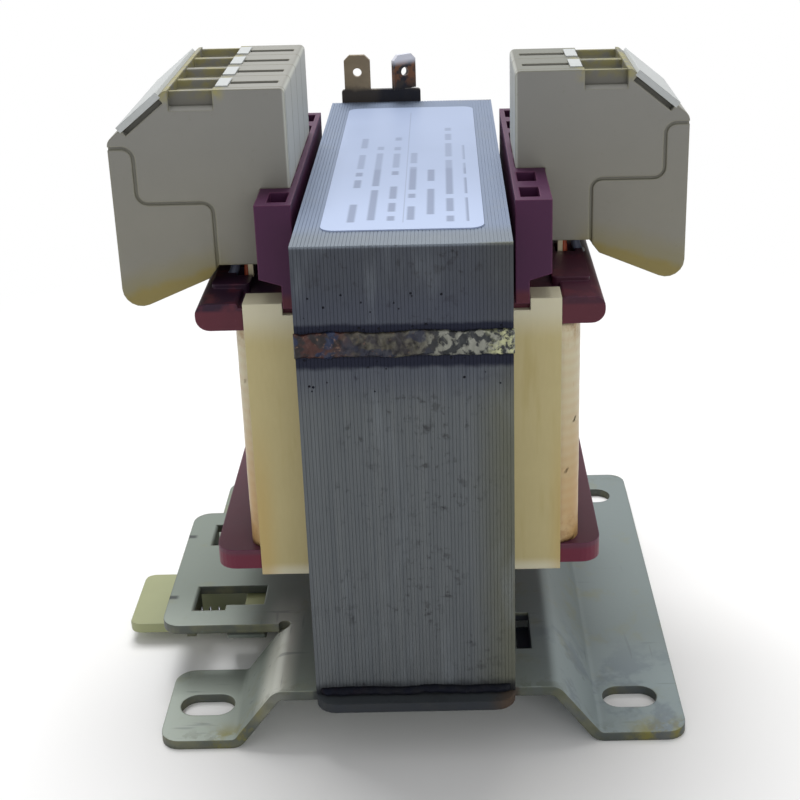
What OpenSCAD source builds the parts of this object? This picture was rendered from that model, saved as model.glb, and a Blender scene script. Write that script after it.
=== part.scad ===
// Chassis transformer: a laminated core on a folded foot bracket, a wound bobbin
// and two rows of screw terminals carried beside the yoke.
// X runs across the stack of laminations, Y along them and Z up from the mounting plane.
// The origin lies in the middle of the four slotted feet.

/* [Core] */
// Length of the laminations from end to end
core_l = 84; // [78:1:92]
// Height of the closed core from its base to the top of the yoke
core_h = 70; // [64:1:76]
// Thickness of the stack of laminations
stack = 29.5; // [26:0.5:33]
// Width of an outer leg and of both yokes
leg_w = 14; // [12:0.5:15]
// Width of the centre leg
centre_leg_w = 28; // [26:0.5:30]
// Thickness of one lamination
lam_t = 0.5; // [0.5:0.05:1]
// Width of the line between two lamination edges
lam_gap = 0.08; // [0.04:0.01:0.12]
// Depth of the line between two lamination edges
lam_relief = 0.1; // [0.05:0.01:0.2]
// Width of the weld bead across the core joint
bead_w = 3.4; // [2.5:0.1:4.5]
// Height of the weld bead over the core's end face
bead_h = 0.7; // [0.4:0.1:1]
// Distance between two ripples of the weld bead
bead_pitch = 1.5; // [1:0.1:3]
// Leg of the fillet weld at the foot of the core
foot_weld = 1.2; // [0.8:0.1:2.4]

/* [Foot bracket] */
// Height of the seat for the core over the mounting plane
seat_h = 10; // [9.5:0.1:12]
// Thickness of the sheet
sheet_t = 1.5; // [1.2:0.1:1.8]
// Inner radius of the bends
bend_r = 1.2; // [0.6:0.1:1.6]
// Length of the bracket along the core
bracket_l = 82.6; // [78:0.2:84]
// Width of the raised plate between its two outer bends
plate_w = 41; // [40:0.5:43]
// Sideways run of the slope from the plate down to a foot
slope_w = 6.5; // [5:0.5:8]
// Reach of the left feet from the middle
left_reach = 39.2; // [38:0.1:42]
// Reach of the right foot from the middle
right_reach = 40.8; // [38:0.1:43]
// Reach of the raised table over the rail latch
table_reach = 41.4; // [40.5:0.1:43]
// Width of the table along the core
table_l = 36.7; // [35:0.1:38]
// Length of the welding tab past the end of the bracket
tab_l = 3.3; // [3:0.1:5]
// Radius of the bracket's corners
corner_r = 3; // [1:0.5:4]
// Distance between the slots across the core
slot_dx = 66; // [64:0.5:68]
// Distance between the slots along the core
slot_dy = 65; // [60:0.5:66]
// Length of a slot
slot_l = 8.5; // [7:0.1:9.5]
// Width of a slot
slot_w = 5.3; // [4.5:0.1:6]

/* [Rail clip] */
// Width of the mounting rail between its outer edges
rail_w = 35; // [34.5:0.1:35.5]
// Thickness of the rail's lip
rail_lip_t = 1; // [0.8:0.1:1.2]
// Free play of the rail between plate and hooks
rail_play = 0.3; // [0.1:0.05:0.5]
// Middle of the rail clip along the core
clip_y = -5; // [-6:0.5:-3]
// Reach of a hook under the lip of the rail
hook_bite = 1.7; // [1:0.1:2.5]
// Length of a fixed hook along the rail
hook_l = 10; // [8:0.5:12]
// Distance between the two fixed hooks
hook_dy = 43; // [41:0.5:45]
// Width of the latch tongue
latch_w = 15.6; // [12:0.1:16]
// Reach of the latch tongue from the middle of the bracket
latch_reach = 49.3; // [47:0.1:52]
// Thickness of the latch tongue
tongue_t = 1.7; // [1.4:0.1:1.9]
// Height of the latch's underside over the mounting plane
latch_clear = 1.9; // [1.5:0.1:2.2]
// Travel of the latch from closed to open
latch_travel = 3; // [2.5:0.1:3.2]
// Running clearance of the latch in its guides
latch_gap = 0.3; // [0.2:0.05:0.4]
// Length of a window in the table over the latch guides
window_l = 12.8; // [12:0.1:13.5]
// Width of a window in the table
window_w = 7.3; // [7:0.1:8]
// Distance of a window from the table's outer edge
window_edge = 3.2; // [3:0.1:4]
// Distance between the two windows
window_split = 13.4; // [13:0.1:14]
// Outer diameter of a latch spring
spring_d = 2.6; // [2.2:0.1:2.8]
// Diameter of the spring wire
spring_wire = 0.4; // [0.3:0.05:0.45]
// Number of turns of a latch spring
spring_turns = 5; // [3:1:6]

/* [Bobbin] */
// Clearance of the bobbin's tube round the centre leg
tube_gap = 0.25; // [0.1:0.05:0.4]
// Wall of the bobbin's tube
tube_wall = 1.2; // [0.8:0.1:1.6]
// Thickness of the lower flange
lower_flange_t = 1.8; // [1.4:0.1:2.4]
// Depth of the lower flange's rim below the yoke
lower_rim = 1.4; // [0.8:0.1:2]
// Wall of the lower flange's rim
rim_wall = 1.5; // [1:0.1:2]
// Thickness of the upper flange
upper_flange_t = 3.4; // [2.8:0.1:4]
// Rise of the upper flange's rim
upper_rim = 0.7; // [0.4:0.1:1.5]
// Length of the low ear at each end of the rim
ear_l = 6.5; // [5:0.5:9]
// Height of the ledge between the ears, over the upper flange
ledge_h = 1.4; // [1:0.1:2]
// Distance of the ledge's edge from the rim's edge
ledge_in = 1.6; // [1:0.1:2.4]
// Width of the upper flange's rim
upper_rim_w = 6.3; // [4:0.1:6.5]
// Reach of the flanges on the left
flange_left = 30.7; // [29.5:0.1:31.5]
// Reach of the flanges on the right
flange_right = 28.8; // [28.5:0.1:31.5]
// Free height over the upper flange, under the yoke
bobbin_play = 0.2; // [0.1:0.05:0.4]
// Distance of the terminal carrier from the side of the stack
carrier_gap = 1; // [0.8:0.05:1.6]
// Width of the terminal carrier
carrier_w = 5.2; // [4.8:0.1:6.2]
// Rise of the terminal carrier over the core's top
carrier_rise = 1.5; // [0.5:0.1:3]
// Number of pin pockets in each terminal carrier
pocket_n = 7; // [7:1:7]
// Wall between a pocket and the carrier's inner side
pocket_wall = 0.8; // [0.6:0.1:1]
// Width of a pin pocket across the carrier
pocket_w = 2.8; // [2.4:0.1:3]
// Length of a pin pocket along the carrier
pocket_l = 5; // [4.5:0.1:5.6]
// Depth of a pin pocket
pocket_depth = 9; // [6:0.5:10]

/* [Coil] */
// Radial build of the inner winding
inner_build = 4.6; // [4:0.1:5]
// Thickness of the insulation between the windings
layer_t = 0.6; // [0.3:0.1:0.8]
// Thickness of the outer tape wrap
tape_t = 0.5; // [0.3:0.1:0.8]
// Bulge of the tape wrap over the sides of the coil
tape_bulge = 0.6; // [0.2:0.1:0.7]
// Reach of the wound coil from the middle, across the stack
coil_reach = 25.7; // [25:0.1:26.6]
// Thickness of an end insulation panel
panel_t = 1; // [0.8:0.1:1.2]
// Half the width of an end insulation panel
panel_reach = 23.6; // [22.5:0.1:24]
// Depth of an insulation panel's foot below the yoke
panel_drop = 1.9; // [1:0.1:2.2]
// Depth of the folded lip on an insulation panel
lip_l = 4.6; // [2:0.1:5.5]

/* [Terminal rows] */
// Distance from one pole to the next
pole_pitch = 8; // [7.6:0.1:8.4]
// Thickness of the end plate
end_plate_t = 1.2; // [1:0.1:1.6]
// Free length between the last open pocket and the end plate
row_gap = 0.6; // [0.4:0.1:1]
// Width of a terminal housing, out from the core
block_w = 26; // [25.4:0.1:28]
// Distance of a housing's inner face from the side of the stack
block_gap = 1.85; // [1.6:0.05:2.6]
// Rise of a housing over its carrier
block_rise = 14.7; // [13.5:0.1:16]
// Drop of a housing's skirt below the top of its carrier
block_drop = 19.3; // [18:0.1:20]
// Width of the bevel on the outer top edge
bevel_w = 8.8; // [7.4:0.1:9.4]
// Height of the bevel on the outer top edge
bevel_h = 7.2; // [6:0.1:8]
// Rise of the skirt's lower edge towards the core
skirt_rise = 5.6; // [5:0.1:6]
// Distance of the skirt's inner corner from the housing's inner face
skirt_x = 12.8; // [12:0.1:13.6]
// Rise of the housing's underside over the skirt's inner corner
under_rise = 2.1; // [1:0.1:2.6]
// Wall between two poles
pole_wall = 1.2; // [0.8:0.1:1.4]
// Length of the slot for a cross link
link_slot_l = 8.5; // [7:0.1:9]
// Width of the slot for a cross link
link_slot_w = 1.6; // [1.2:0.1:2]
// Depth of the slot for a cross link
link_slot_d = 5; // [3:0.1:6]
// Width of the small marker tag on a pole
tag_w = 2; // [1.5:0.1:2.2]
// Depth of the recess round the screw holes
screw_recess = 1.5; // [1:0.1:2]
// Length of the recess round a screw hole
recess_l = 6.4; // [5.6:0.1:6.6]
// Diameter of the hole over a clamping screw
driver_d = 4.8; // [4.4:0.1:5.2]
// Width of the conductor entry
entry_w = 4.8; // [4.4:0.1:5]
// Height of the conductor entry
entry_h = 5.6; // [5:0.1:6]
// Thickness of the marker strip on the bevel
strip_t = 1; // [0.8:0.1:1.2]
// Width of the groove that outlines the skirt on an end plate
groove_w = 0.5; // [0.3:0.05:0.7]

/* [Terminal metal] */
// Outer width of a clamp cage
cage_w = 5.8; // [5.6:0.1:6]
// Length of a clamp cage, out from the core
cage_l = 7.4; // [7:0.1:8]
// Wall of a clamp cage
cage_wall = 0.9; // [0.7:0.1:1]
// Thread diameter of a clamping screw
screw_d = 3; // [2.5:0.1:3.5]
// Head diameter of a clamping screw
screw_head_d = 4.4; // [3.8:0.1:4.6]
// Height of a clamping screw's head
screw_head_h = 2; // [1.5:0.1:2.5]
// Thickness of a current bar
bar_t = 0.8; // [0.6:0.1:1]
// Width of a current bar
bar_w = 3; // [2.6:0.1:3.4]

/* [Label and earth tab] */
// Length of the rating label
label_l = 72; // [60:1:74]
// Width of the rating label
label_w = 22.4; // [18:0.2:24]
// Thickness of the rating label
label_t = 0.2; // [0.1:0.05:0.3]
// Corner radius of the rating label
label_r = 2; // [1:0.5:3]
// Width of an earth blade
blade_w = 4.8; // [4.8:0.1:6.3]
// Thickness of the earth tab
blade_t = 0.8; // [0.5:0.1:1]
// Height of the blades over the core's top
blade_rise = 8.8; // [8:0.1:10]
// Distance between the middles of the two blades
blade_dx = 8.6; // [8:0.1:10]
// Middle of the earth tab across the stack
earth_x = -5.6; // [-7:0.1:-5]
// Twist of the right blade
blade_twist = 35; // [0:1:45]

/* [Hidden] */
$fn = 48;

// Small overlap for cuts that run out of a solid
cut = 1;
// Number of flats in a rounded corner
arc_steps = 6;

// Heights of the core
joint_z = seat_h + core_h - leg_w;
core_top = seat_h + core_h;
window_z = seat_h + leg_w;
window_y = core_l / 2 - leg_w;
// Heights and reach of the bobbin
bobbin_top = joint_z - bobbin_play;
flange_y = window_y - panel_t;
carrier_x = stack / 2 + carrier_gap;
carrier_top = core_top + carrier_rise;
carrier_l = pole_pitch * pocket_n;
carrier_floor = 2;
carrier_foot = 2;
rim_r = 2;
pin_gap = 0.3;
lip_gap = 0.1;
lead_d = 1.7;
coil_z0 = window_z + lower_flange_t;
coil_z1 = bobbin_top - upper_flange_t;
tube_x = stack / 2 + tube_gap + tube_wall;
tube_y = centre_leg_w / 2 + tube_gap + tube_wall;
// Terminal rows: inner face of the housings and number of poles on each side
block_x = stack / 2 + block_gap;
left_poles = 4;
right_poles = 2;
left_row_y = row_front(1);
right_row_y = row_front(2);
function row_front(open_pockets) = -carrier_l / 2 + open_pockets * pole_pitch + row_gap;
// Underside of the bracket's plate and the plane of its feet
plate_under = seat_h - sheet_t;
hook_top = plate_under - rail_lip_t - rail_play;

// ---------- Helpers ----------

function unit(v) = v / norm(v);
function left_of(v) = [-v[1], v[0]];
function turned(v, a) = [v[0] * cos(a) - v[1] * sin(a), v[0] * sin(a) + v[1] * cos(a)];
function flat(p) = [p[0], p[1]];

// Points that round one corner of an outline by the radius r
function round_corner(before, at, after, r) =
    r <= 0 ? [at] :
    let (u = unit(before - at),
         v = unit(after - at),
         half = acos(u * v) / 2,
         centre = at + unit(u + v) * r / sin(half),
         start = at + u * r / tan(half) - centre,
         sweep = (180 - 2 * half) * (cross(u, v) > 0 ? -1 : 1))
    [for (k = [0:arc_steps]) centre + turned(start, sweep * k / arc_steps)];

// Outline whose corners are given as [x, y, radius]
function rounded(corners) =
    let (n = len(corners))
    [for (i = [0:n - 1]) each round_corner(flat(corners[(i + n - 1) % n]), flat(corners[i]),
        flat(corners[(i + 1) % n]), corners[i][2])];

// Point i of an open path, moved sideways by d
function beside(path, i, d) =
    let (last = len(path) - 1,
         a = unit(path[max(i, 1)] - path[max(i, 1) - 1]),
         b = unit(path[min(i, last - 1) + 1] - path[min(i, last - 1)]),
         n = unit(left_of(a) + left_of(b)))
    path[i] + n * d / (n * left_of(a));

// Open path rounded at its inner points; the radius grows by t where it turns left
function bent(path, r, t) =
    [for (i = [0:len(path) - 1])
        each (i == 0 || i == len(path) - 1) ? [path[i]] :
            round_corner(path[i - 1], path[i], path[i + 1],
                r + (cross(path[i] - path[i - 1], path[i + 1] - path[i]) > 0 ? t : 0))];

// Section of a sheet of thickness t, bent along a path that is its right-hand face
function sheet_section(path, r, t) =
    let (other = [for (i = [0:len(path) - 1]) beside(path, i, t)],
         back = [for (i = [len(path) - 1:-1:0]) other[i]])
    concat(bent(path, r, t), bent(back, r, t));

// Plate from a rectangle with rounded corners, between two corners in the plane
module plate(from, to, z0, z1, r = 0) {
    translate([0, 0, z0])
        linear_extrude(z1 - z0)
            polygon(rounded([[from[0], from[1], r], [to[0], from[1], r],
                [to[0], to[1], r], [from[0], to[1], r]]));
}

// Box between two opposite corners
module box(from, to) {
    translate(from)
        cube(to - from);
}

// Extrudes an outline in X and Z along Y
module along_y(y0, y1) {
    translate([0, y1, 0])
        rotate([90, 0, 0])
            linear_extrude(y1 - y0)
                children();
}

// Extrudes an outline in Y and Z along X
module along_x(x0, x1) {
    translate([x0, 0, 0])
        rotate([90, 0, 90])
            linear_extrude(x1 - x0)
                children();
}

// Draws its children on the right (side = 1) or mirrored on the left (side = -1)
module on_side(side) {
    mirror([side < 0 ? 1 : 0, 0, 0])
        children();
}

// ---------- Foot bracket ----------

// Section of the plate with one foot, out to a reach from the middle
function foot_section(reach) =
    sheet_section([[0, plate_under], [plate_w / 2, plate_under], [plate_w / 2 + slope_w, 0], [reach, 0]],
        bend_r, sheet_t);

// Hook lanced out of the plate: down from the window's edge, then turned under
module lanced_hook(x0, x1, y_edge, side, drop, reach) {
    along_x(x0, x1)
        polygon([for (p = sheet_section([[0, plate_under + sheet_t], [0, plate_under - drop - sheet_t],
            [sheet_t + reach, plate_under - drop - sheet_t]], bend_r / 2, sheet_t))
            [y_edge + side * p[0], p[1]]]);
}

module foot_slot(x, y) {
    run = (slot_l - slot_w) / 2;
    for (s = [-1, 1])
        translate([x + s * run, y, -cut])
            cylinder(d = slot_w, h = seat_h);
    box([x - run, y - slot_w / 2, -cut], [x + run, y + slot_w / 2, seat_h - cut]);
}

table_front = clip_y - table_l / 2;
table_back = clip_y + table_l / 2;
window_x0 = table_reach - window_edge;
window_x1 = window_x0 - window_l;
window_in = window_split / 2;
window_out = window_in + window_w;
guide_foot = 2.2;
guide_short = 0.4;
wing_x0 = 29;
wing_x1 = 22;
// Guides reach as far as the wings do when the latch is open, less a little
guide_l = wing_x0 + latch_travel - window_x1 - guide_short;
hook_slot_l = 5;
relief_r = 0.9;

module bracket_blank() {
    // Raised plate and its right foot
    intersection() {
        along_y(-bracket_l / 2, bracket_l / 2)
            polygon(foot_section(right_reach));
        plate([-cut, -bracket_l / 2], [right_reach, bracket_l / 2], -cut, seat_h + cut, corner_r);
    }
    // Left feet, before and behind the table
    for (ends = [[-bracket_l / 2, table_front], [table_back, bracket_l / 2]])
        intersection() {
            mirror([1, 0, 0])
                along_y(ends[0], ends[1])
                    polygon(foot_section(left_reach));
            plate([-left_reach, ends[0]], [cut, ends[1]], -cut, seat_h + cut, corner_r);
        }
    // Middle of the plate, with a welding tab under each end of the core
    box([-plate_w / 2 + bend_r, -bracket_l / 2, plate_under], [corner_r + cut, bracket_l / 2, seat_h]);
    for (end = [-1, 1])
        plate([-stack / 2, min(0, end * (bracket_l / 2 + tab_l))],
            [stack / 2, max(0, end * (bracket_l / 2 + tab_l))], plate_under, seat_h, corner_r);
    // Table over the latch
    plate([-table_reach, table_front], [0, table_back], plate_under, seat_h, corner_r);
}

module base_bracket() color("#8a9690") {
    difference() {
        bracket_blank();
        for (x = [-slot_dx / 2, slot_dx / 2], y = [-slot_dy / 2, slot_dy / 2])
            foot_slot(x, y);
        // Windows over the latch guides
        for (s = [-1, 1])
            box([-window_x0, clip_y + (s > 0 ? window_in : -window_out), plate_under - cut],
                [-window_x1, clip_y + (s > 0 ? window_out : -window_in), seat_h + cut]);
        // Openings left by the fixed hooks
        for (s = [-1, 1])
            box([hook_wall_x - hook_slot_l, hook_y(s) - hook_l / 2, plate_under - cut],
                [hook_wall_x + sheet_t, hook_y(s) + hook_l / 2, seat_h + cut]);
        // Relief holes at the roots of the slits beside the table
        for (y = [table_front, table_back])
            translate([-plate_w / 2 - relief_r, y, plate_under - cut])
                cylinder(r = relief_r, h = sheet_t + 2 * cut);
    }
    // Guides for the latch wings
    for (s = [-1, 1])
        lanced_hook(-window_x1 - guide_l, -window_x1, clip_y + s * window_out, -s, guide_drop, guide_foot);
    // Flaps bent down from the outer edge of the windows, as seats for the latch springs
    for (s = [-1, 1])
        along_y(clip_y + s * spring_y - window_w / 2, clip_y + s * spring_y + window_w / 2)
            polygon(sheet_section([[-window_x0 - sheet_t, seat_h], [-window_x0 + sheet_t, seat_h],
                [-window_x0 + sheet_t, guide_z]], bend_r / 2, -sheet_t));
    // Fixed hooks for the far lip of the rail
    for (s = [-1, 1])
        along_y(hook_y(s) - hook_l / 2, hook_y(s) + hook_l / 2)
            polygon(sheet_section([[hook_wall_x + sheet_t, seat_h],
                [hook_wall_x + sheet_t, hook_top - sheet_t],
                [hook_wall_x - hook_bite - rail_play, hook_top - sheet_t]], bend_r / 2, -sheet_t));
}

hook_wall_x = rail_w / 2 + rail_play;
function hook_y(s) = clip_y + s * hook_dy / 2;

// ---------- Rail latch ----------

guide_drop = 3.4;
guide_z = plate_under - guide_drop;
spring_y = (window_in + window_out) / 2;
spring_gap = 0.05;
spring_z = plate_under - latch_gap - spring_d / 2 - spring_gap;
peg_gap = 0.2;
peg_d = spring_d - 2 * (spring_wire + peg_gap);
peg_l = 1.2;
latch_tip = rail_w / 2 - hook_bite;
wing_y = window_out - sheet_t - latch_gap;
wing_z = guide_z + latch_gap;
tongue_r = 2;
tongue_edge_r = 0.6;
head_l = 4.4;
tip_h = 1.2;
hollow_wall = 1.6;
hollow_back = 2;
hollow_front = 6.5;
hollow_h = 3;

module rail_latch() color("#b8bb8c") {
    translate([0, clip_y, 0]) {
        difference() {
            union() {
                along_y(-latch_w / 2, latch_w / 2)
                    polygon(rounded([
                        [-latch_reach, latch_clear, tongue_edge_r],
                        [-latch_tip - head_l, latch_clear, 0.5],
                        [-latch_tip, hook_top - tip_h, 0],
                        [-latch_tip, hook_top, 0.3],
                        [-rail_w / 2 - rail_play, hook_top, 0],
                        [-rail_w / 2 - rail_play, plate_under - latch_gap, 0.3],
                        [-wing_x0, plate_under - latch_gap, 0],
                        [-wing_x0, latch_clear + tongue_t, 0],
                        [-latch_reach, latch_clear + tongue_t, tongue_edge_r]]));
                // Wings that ride in the guides, each with a peg for its spring
                for (s = [-1, 1]) {
                    box([-wing_x0, s > 0 ? 0 : -wing_y, wing_z],
                        [-wing_x1, s > 0 ? wing_y : 0, plate_under - latch_gap]);
                    translate([-wing_x0 - peg_l, s * spring_y, spring_z])
                        rotate([0, 90, 0])
                            cylinder(d = peg_d, h = peg_l + cut);
                }
            }
            // Rounded outer corners of the tongue
            for (s = [-1, 1])
                translate([-latch_reach, s * latch_w / 2, 0])
                    difference() {
                        box([-cut, -tongue_r, 0], [tongue_r, tongue_r, latch_clear + tongue_t + cut]);
                        translate([tongue_r, -s * tongue_r, -cut])
                            cylinder(r = tongue_r, h = latch_clear + tongue_t + 3 * cut);
                    }
            // Hollow under the head, open towards the rail
            box([-wing_x0 + hollow_back, -latch_w / 2 + hollow_wall, latch_clear - cut],
                [-latch_tip - hollow_front, latch_w / 2 - hollow_wall, latch_clear + hollow_h]);
        }
    }
}

// Ring of points round a point of the spring's centre line
function ring_at(p, out, up, r, n) =
    [for (k = [0:n - 1]) p + r * (out * cos(k * 360 / n) + up * sin(k * 360 / n))];

// Compression spring along X from the seat to the wing, swept round its helix
module spring(x0, x1, d, wire, turns) {
    ring_n = 6;
    per_turn = 12;
    last = turns * per_turn;
    r = (d - wire) / 2;
    pitch = (x1 - x0 - wire) / turns;
    points = [for (i = [0:last])
        let (a = i * 360 / per_turn, out = [0, cos(a), sin(a)])
        each ring_at([x0 + wire / 2 + pitch * i / per_turn, r * cos(a), r * sin(a)], out, [1, 0, 0],
            wire / 2, ring_n)];
    sides = [for (i = [0:last - 1], k = [0:ring_n - 1])
        let (a = i * ring_n + k, b = i * ring_n + (k + 1) % ring_n)
        each [[a, b, b + ring_n], [a, b + ring_n, a + ring_n]]];
    start = [[for (k = [ring_n - 1:-1:0]) k]];
    end = [[for (k = [0:ring_n - 1]) last * ring_n + k]];
    polyhedron(points, concat(sides, start, end));
}

module latch_springs() color("#6d7074")
    for (s = [-1, 1])
        translate([0, clip_y + s * spring_y, spring_z])
            spring(-window_x0 + sheet_t, -wing_x0, spring_d, spring_wire, spring_turns);

// ---------- Core ----------

lam_n = round(stack / lam_t);

// Lines between the laminations, cut into the outside of an outline in Y and Z
module lamination_lines(y, z0, z1, open_bottom, open_top) {
    for (k = [1:lam_n - 1])
        along_x(-stack / 2 + k * stack / lam_n - lam_gap / 2, -stack / 2 + k * stack / lam_n + lam_gap / 2)
            difference() {
                translate([-y - cut, z0 - cut])
                    square([2 * y + 2 * cut, z1 - z0 + 2 * cut]);
                translate([-y + lam_relief, z0 + (open_bottom ? -2 * cut : lam_relief)])
                    square([2 * (y - lam_relief),
                        z1 - z0 - (open_bottom ? -2 * cut : lam_relief)
                            + (open_top ? 2 * cut : -lam_relief)]);
            }
}

module core_e_stack() color("#55595d")
    difference() {
        box([-stack / 2, -core_l / 2, seat_h], [stack / 2, core_l / 2, joint_z]);
        for (s = [-1, 1])
            box([-stack / 2 - cut, s > 0 ? centre_leg_w / 2 : -window_y, window_z],
                [stack / 2 + cut, s > 0 ? window_y : -centre_leg_w / 2, joint_z + cut]);
        lamination_lines(core_l / 2, seat_h, joint_z, false, true);
    }

module core_i_stack() color("#8f98a4")
    difference() {
        box([-stack / 2, -core_l / 2, joint_z], [stack / 2, core_l / 2, core_top]);
        lamination_lines(core_l / 2, joint_z, core_top, true, false);
    }

// Rippled bead across the core joint, as a row of rounded collars cut flat on the core
bead_r = (bead_w * bead_w / 4 + bead_h * bead_h) / (2 * bead_h);
bead_n = floor(stack / bead_pitch);
bead_run = stack / bead_n;
ripple_h = 0.14;
ripple_a = 60;
ripple_turn = 130;

module weld_bead() {
    intersection() {
        translate([-stack / 2, core_l / 2 + bead_h - bead_r, joint_z])
            rotate([0, 90, 0])
                rotate_extrude($fn = 48)
                    polygon(concat([[0, 0]],
                        [for (k = [0:bead_n - 1], a = [-ripple_a:ripple_a / 2:ripple_a])
                            [bead_r - ripple_h * (1 - cos(a * 1.5)), (k + 0.5 + a / ripple_turn) * bead_run]],
                        [[0, stack]]));
        box([-stack / 2, core_l / 2, joint_z - bead_w], [stack / 2, core_l / 2 + bead_w, joint_z + bead_w]);
    }
}

module core_welds() color("#7d7466")
    for (turn = [0, 180])
        rotate([0, 0, turn])
            weld_bead();

module foot_welds() color("#2f3136")
    for (turn = [0, 180])
        rotate([0, 0, turn])
            along_x(-stack / 2 + 1.5, stack / 2 - 1.5)
                polygon([[core_l / 2, seat_h], [core_l / 2 + foot_weld, seat_h],
                    [core_l / 2 + foot_weld * 0.45, seat_h + foot_weld * 0.35],
                    [core_l / 2, seat_h + foot_weld]]);

// ---------- Bobbin ----------

module tube_hole(z0, z1) {
    box([-stack / 2 - tube_gap, -centre_leg_w / 2 - tube_gap, z0],
        [stack / 2 + tube_gap, centre_leg_w / 2 + tube_gap, z1]);
}

module lower_flange() {
    plate([-flange_left, -flange_y], [flange_right, flange_y], window_z, coil_z0, corner_r);
    // Rims that hang down beside the yoke
    for (side = [-1, 1]) {
        reach = side > 0 ? flange_right : flange_left;
        on_side(side)
            difference() {
                plate([stack / 2 + tube_gap, -flange_y], [reach, flange_y],
                    window_z - lower_rim, window_z, corner_r);
                box([stack / 2 + tube_gap + rim_wall, -flange_y + rim_wall, window_z - lower_rim - cut],
                    [reach - rim_wall, flange_y - rim_wall, window_z]);
            }
    }
}

module upper_flange() {
    plate([-flange_left + rim_r, -flange_y], [flange_right - rim_r, flange_y], coil_z1, bobbin_top, 0);
    for (side = [-1, 1]) {
        reach = side > 0 ? flange_right : flange_left;
        on_side(side) {
            // Rounded rim, which shows as a low ear at each end
            along_y(-flange_y, flange_y)
                polygon(rounded([[reach - upper_rim_w, coil_z1, 0],
                    [reach, coil_z1, rim_r],
                    [reach, bobbin_top + upper_rim, rim_r - 0.4],
                    [reach - upper_rim_w, bobbin_top + upper_rim, 0.5]]));
            // Ledge between the ears that the leads come up through
            plate([reach - upper_rim_w - 1, -flange_y + ear_l], [reach - ledge_in, flange_y - ear_l],
                bobbin_top - 1, bobbin_top + ledge_h, 0.8);
        }
    }
}

// Carrier beside the yoke, with one pocket for each pole position, on a slender foot
module carrier() {
    post_z = carrier_top - pocket_depth - carrier_floor;
    difference() {
        along_y(-carrier_l / 2, carrier_l / 2)
            polygon([[carrier_x, coil_z1 + upper_flange_t / 2],
                [carrier_x + carrier_foot, coil_z1 + upper_flange_t / 2],
                [carrier_x + carrier_foot, post_z - 1], [carrier_x + carrier_w, post_z],
                [carrier_x + carrier_w, carrier_top], [carrier_x, carrier_top]]);
        for (k = [0:pocket_n - 1])
            translate([carrier_x + pocket_wall, (k - (pocket_n - 1) / 2) * pole_pitch - pocket_l / 2,
                carrier_top - pocket_depth])
                cube([pocket_w, pocket_l, pocket_depth + cut]);
        // Ends of the foot that stand clear of the end panels
        for (s = [-1, 1])
            box([carrier_x - cut, s > 0 ? flange_y : -carrier_l / 2 - cut, coil_z1 - cut],
                [carrier_x + carrier_w + cut, s > 0 ? carrier_l / 2 + cut : -flange_y, joint_z]);
    }
}

// Slots through the ledge for the pins and leads of every pole
module pin_slots() {
    at_poles()
        box([bar_x - pin_gap, -bar_w / 2 - pin_gap, bobbin_top],
            [bar_x + bar_t + lead_d + pin_gap, bar_w / 2 + pin_gap, bobbin_top + ledge_h + cut]);
}

module bobbin() color("#5b2c46")
    difference() {
        union() {
            box([-tube_x, -tube_y, window_z], [tube_x, tube_y, bobbin_top]);
            lower_flange();
            upper_flange();
            for (side = [-1, 1])
                on_side(side)
                    carrier();
        }
        tube_hole(window_z - cut, bobbin_top + cut);
        pin_slots();
    }

// ---------- Coil ----------

// Build of the coil over the tube, across the stack, and its ratio along the core
coil_build = coil_reach - tube_x;
window_ratio = (flange_y - 0.2 - tube_y) / coil_build;

// Outline of the coil at a height h over the tube, with crowned sides
function coil_outline(h, bulge = 0) =
    let (x = tube_x + h,
         y = tube_y + h * window_ratio,
         r = h * 0.45,
         crown = bulge > 0 ? [for (t = [-0.75:0.25:0.75]) [x + bulge * (1 - t * t), y * t, 0]] : [],
         half = concat([[x, -y, r]], crown, [[x, y, r]]),
         other = [for (p = half) [-p[0], -p[1], p[2]]])
    rounded(concat(half, other));

// Layer of the coil between two heights over the tube
module layer(from, to, bulge = 0) {
    translate([0, 0, coil_z0])
        linear_extrude(coil_z1 - coil_z0)
            difference() {
                polygon(coil_outline(to, bulge));
                polygon(coil_outline(from));
            }
}

module inner_winding() color("#a5572b")
    layer(0, inner_build);

module interlayer_insulation() color("#d9cf9e")
    layer(inner_build, inner_build + layer_t);

module outer_winding() color("#b5622f")
    layer(inner_build + layer_t, coil_build - tape_t);

module outer_tape() color("#d8cda6")
    layer(coil_build - tape_t, coil_build, tape_bulge);

// Reach of an end panel on one side, inside the rim of the upper flange
function panel_edge(side) = min(panel_reach, (side > 0 ? flange_right : flange_left) - upper_rim_w - lip_gap);

// Insulation panel between the coil and an outer leg, with a folded lip on each side
module end_panel() {
    foot_z = window_z - panel_drop;
    panel_top = joint_z - 1;
    lip_z = bobbin_top + panel_t;
    lip_x = carrier_x + carrier_foot + lip_gap;
    step = stack / 2 + tube_gap;
    left = -panel_edge(-1);
    right = panel_edge(1);
    along_y(flange_y, window_y)
        polygon([[left, foot_z], [-step, foot_z], [-step, window_z], [step, window_z],
            [step, foot_z], [right, foot_z], [right, lip_z], [lip_x, lip_z],
            [lip_x, panel_top], [-lip_x, panel_top], [-lip_x, lip_z], [left, lip_z]]);
    for (side = [-1, 1])
        on_side(side)
            box([lip_x, window_y - lip_l, bobbin_top], [panel_edge(side), window_y - panel_t / 2, lip_z]);
}

module front_panel() color("#cfc494")
    mirror([0, 1, 0])
        end_panel();

module rear_panel() color("#cfc494")
    end_panel();

// ---------- Label and earth tab ----------

module rating_label() color("#e6ecf2")
    plate([-label_w / 2, -label_l / 2], [label_w / 2, label_l / 2], core_top, core_top + label_t, label_r);

web_rise = 2.4;
web_drop = 8;

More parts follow.
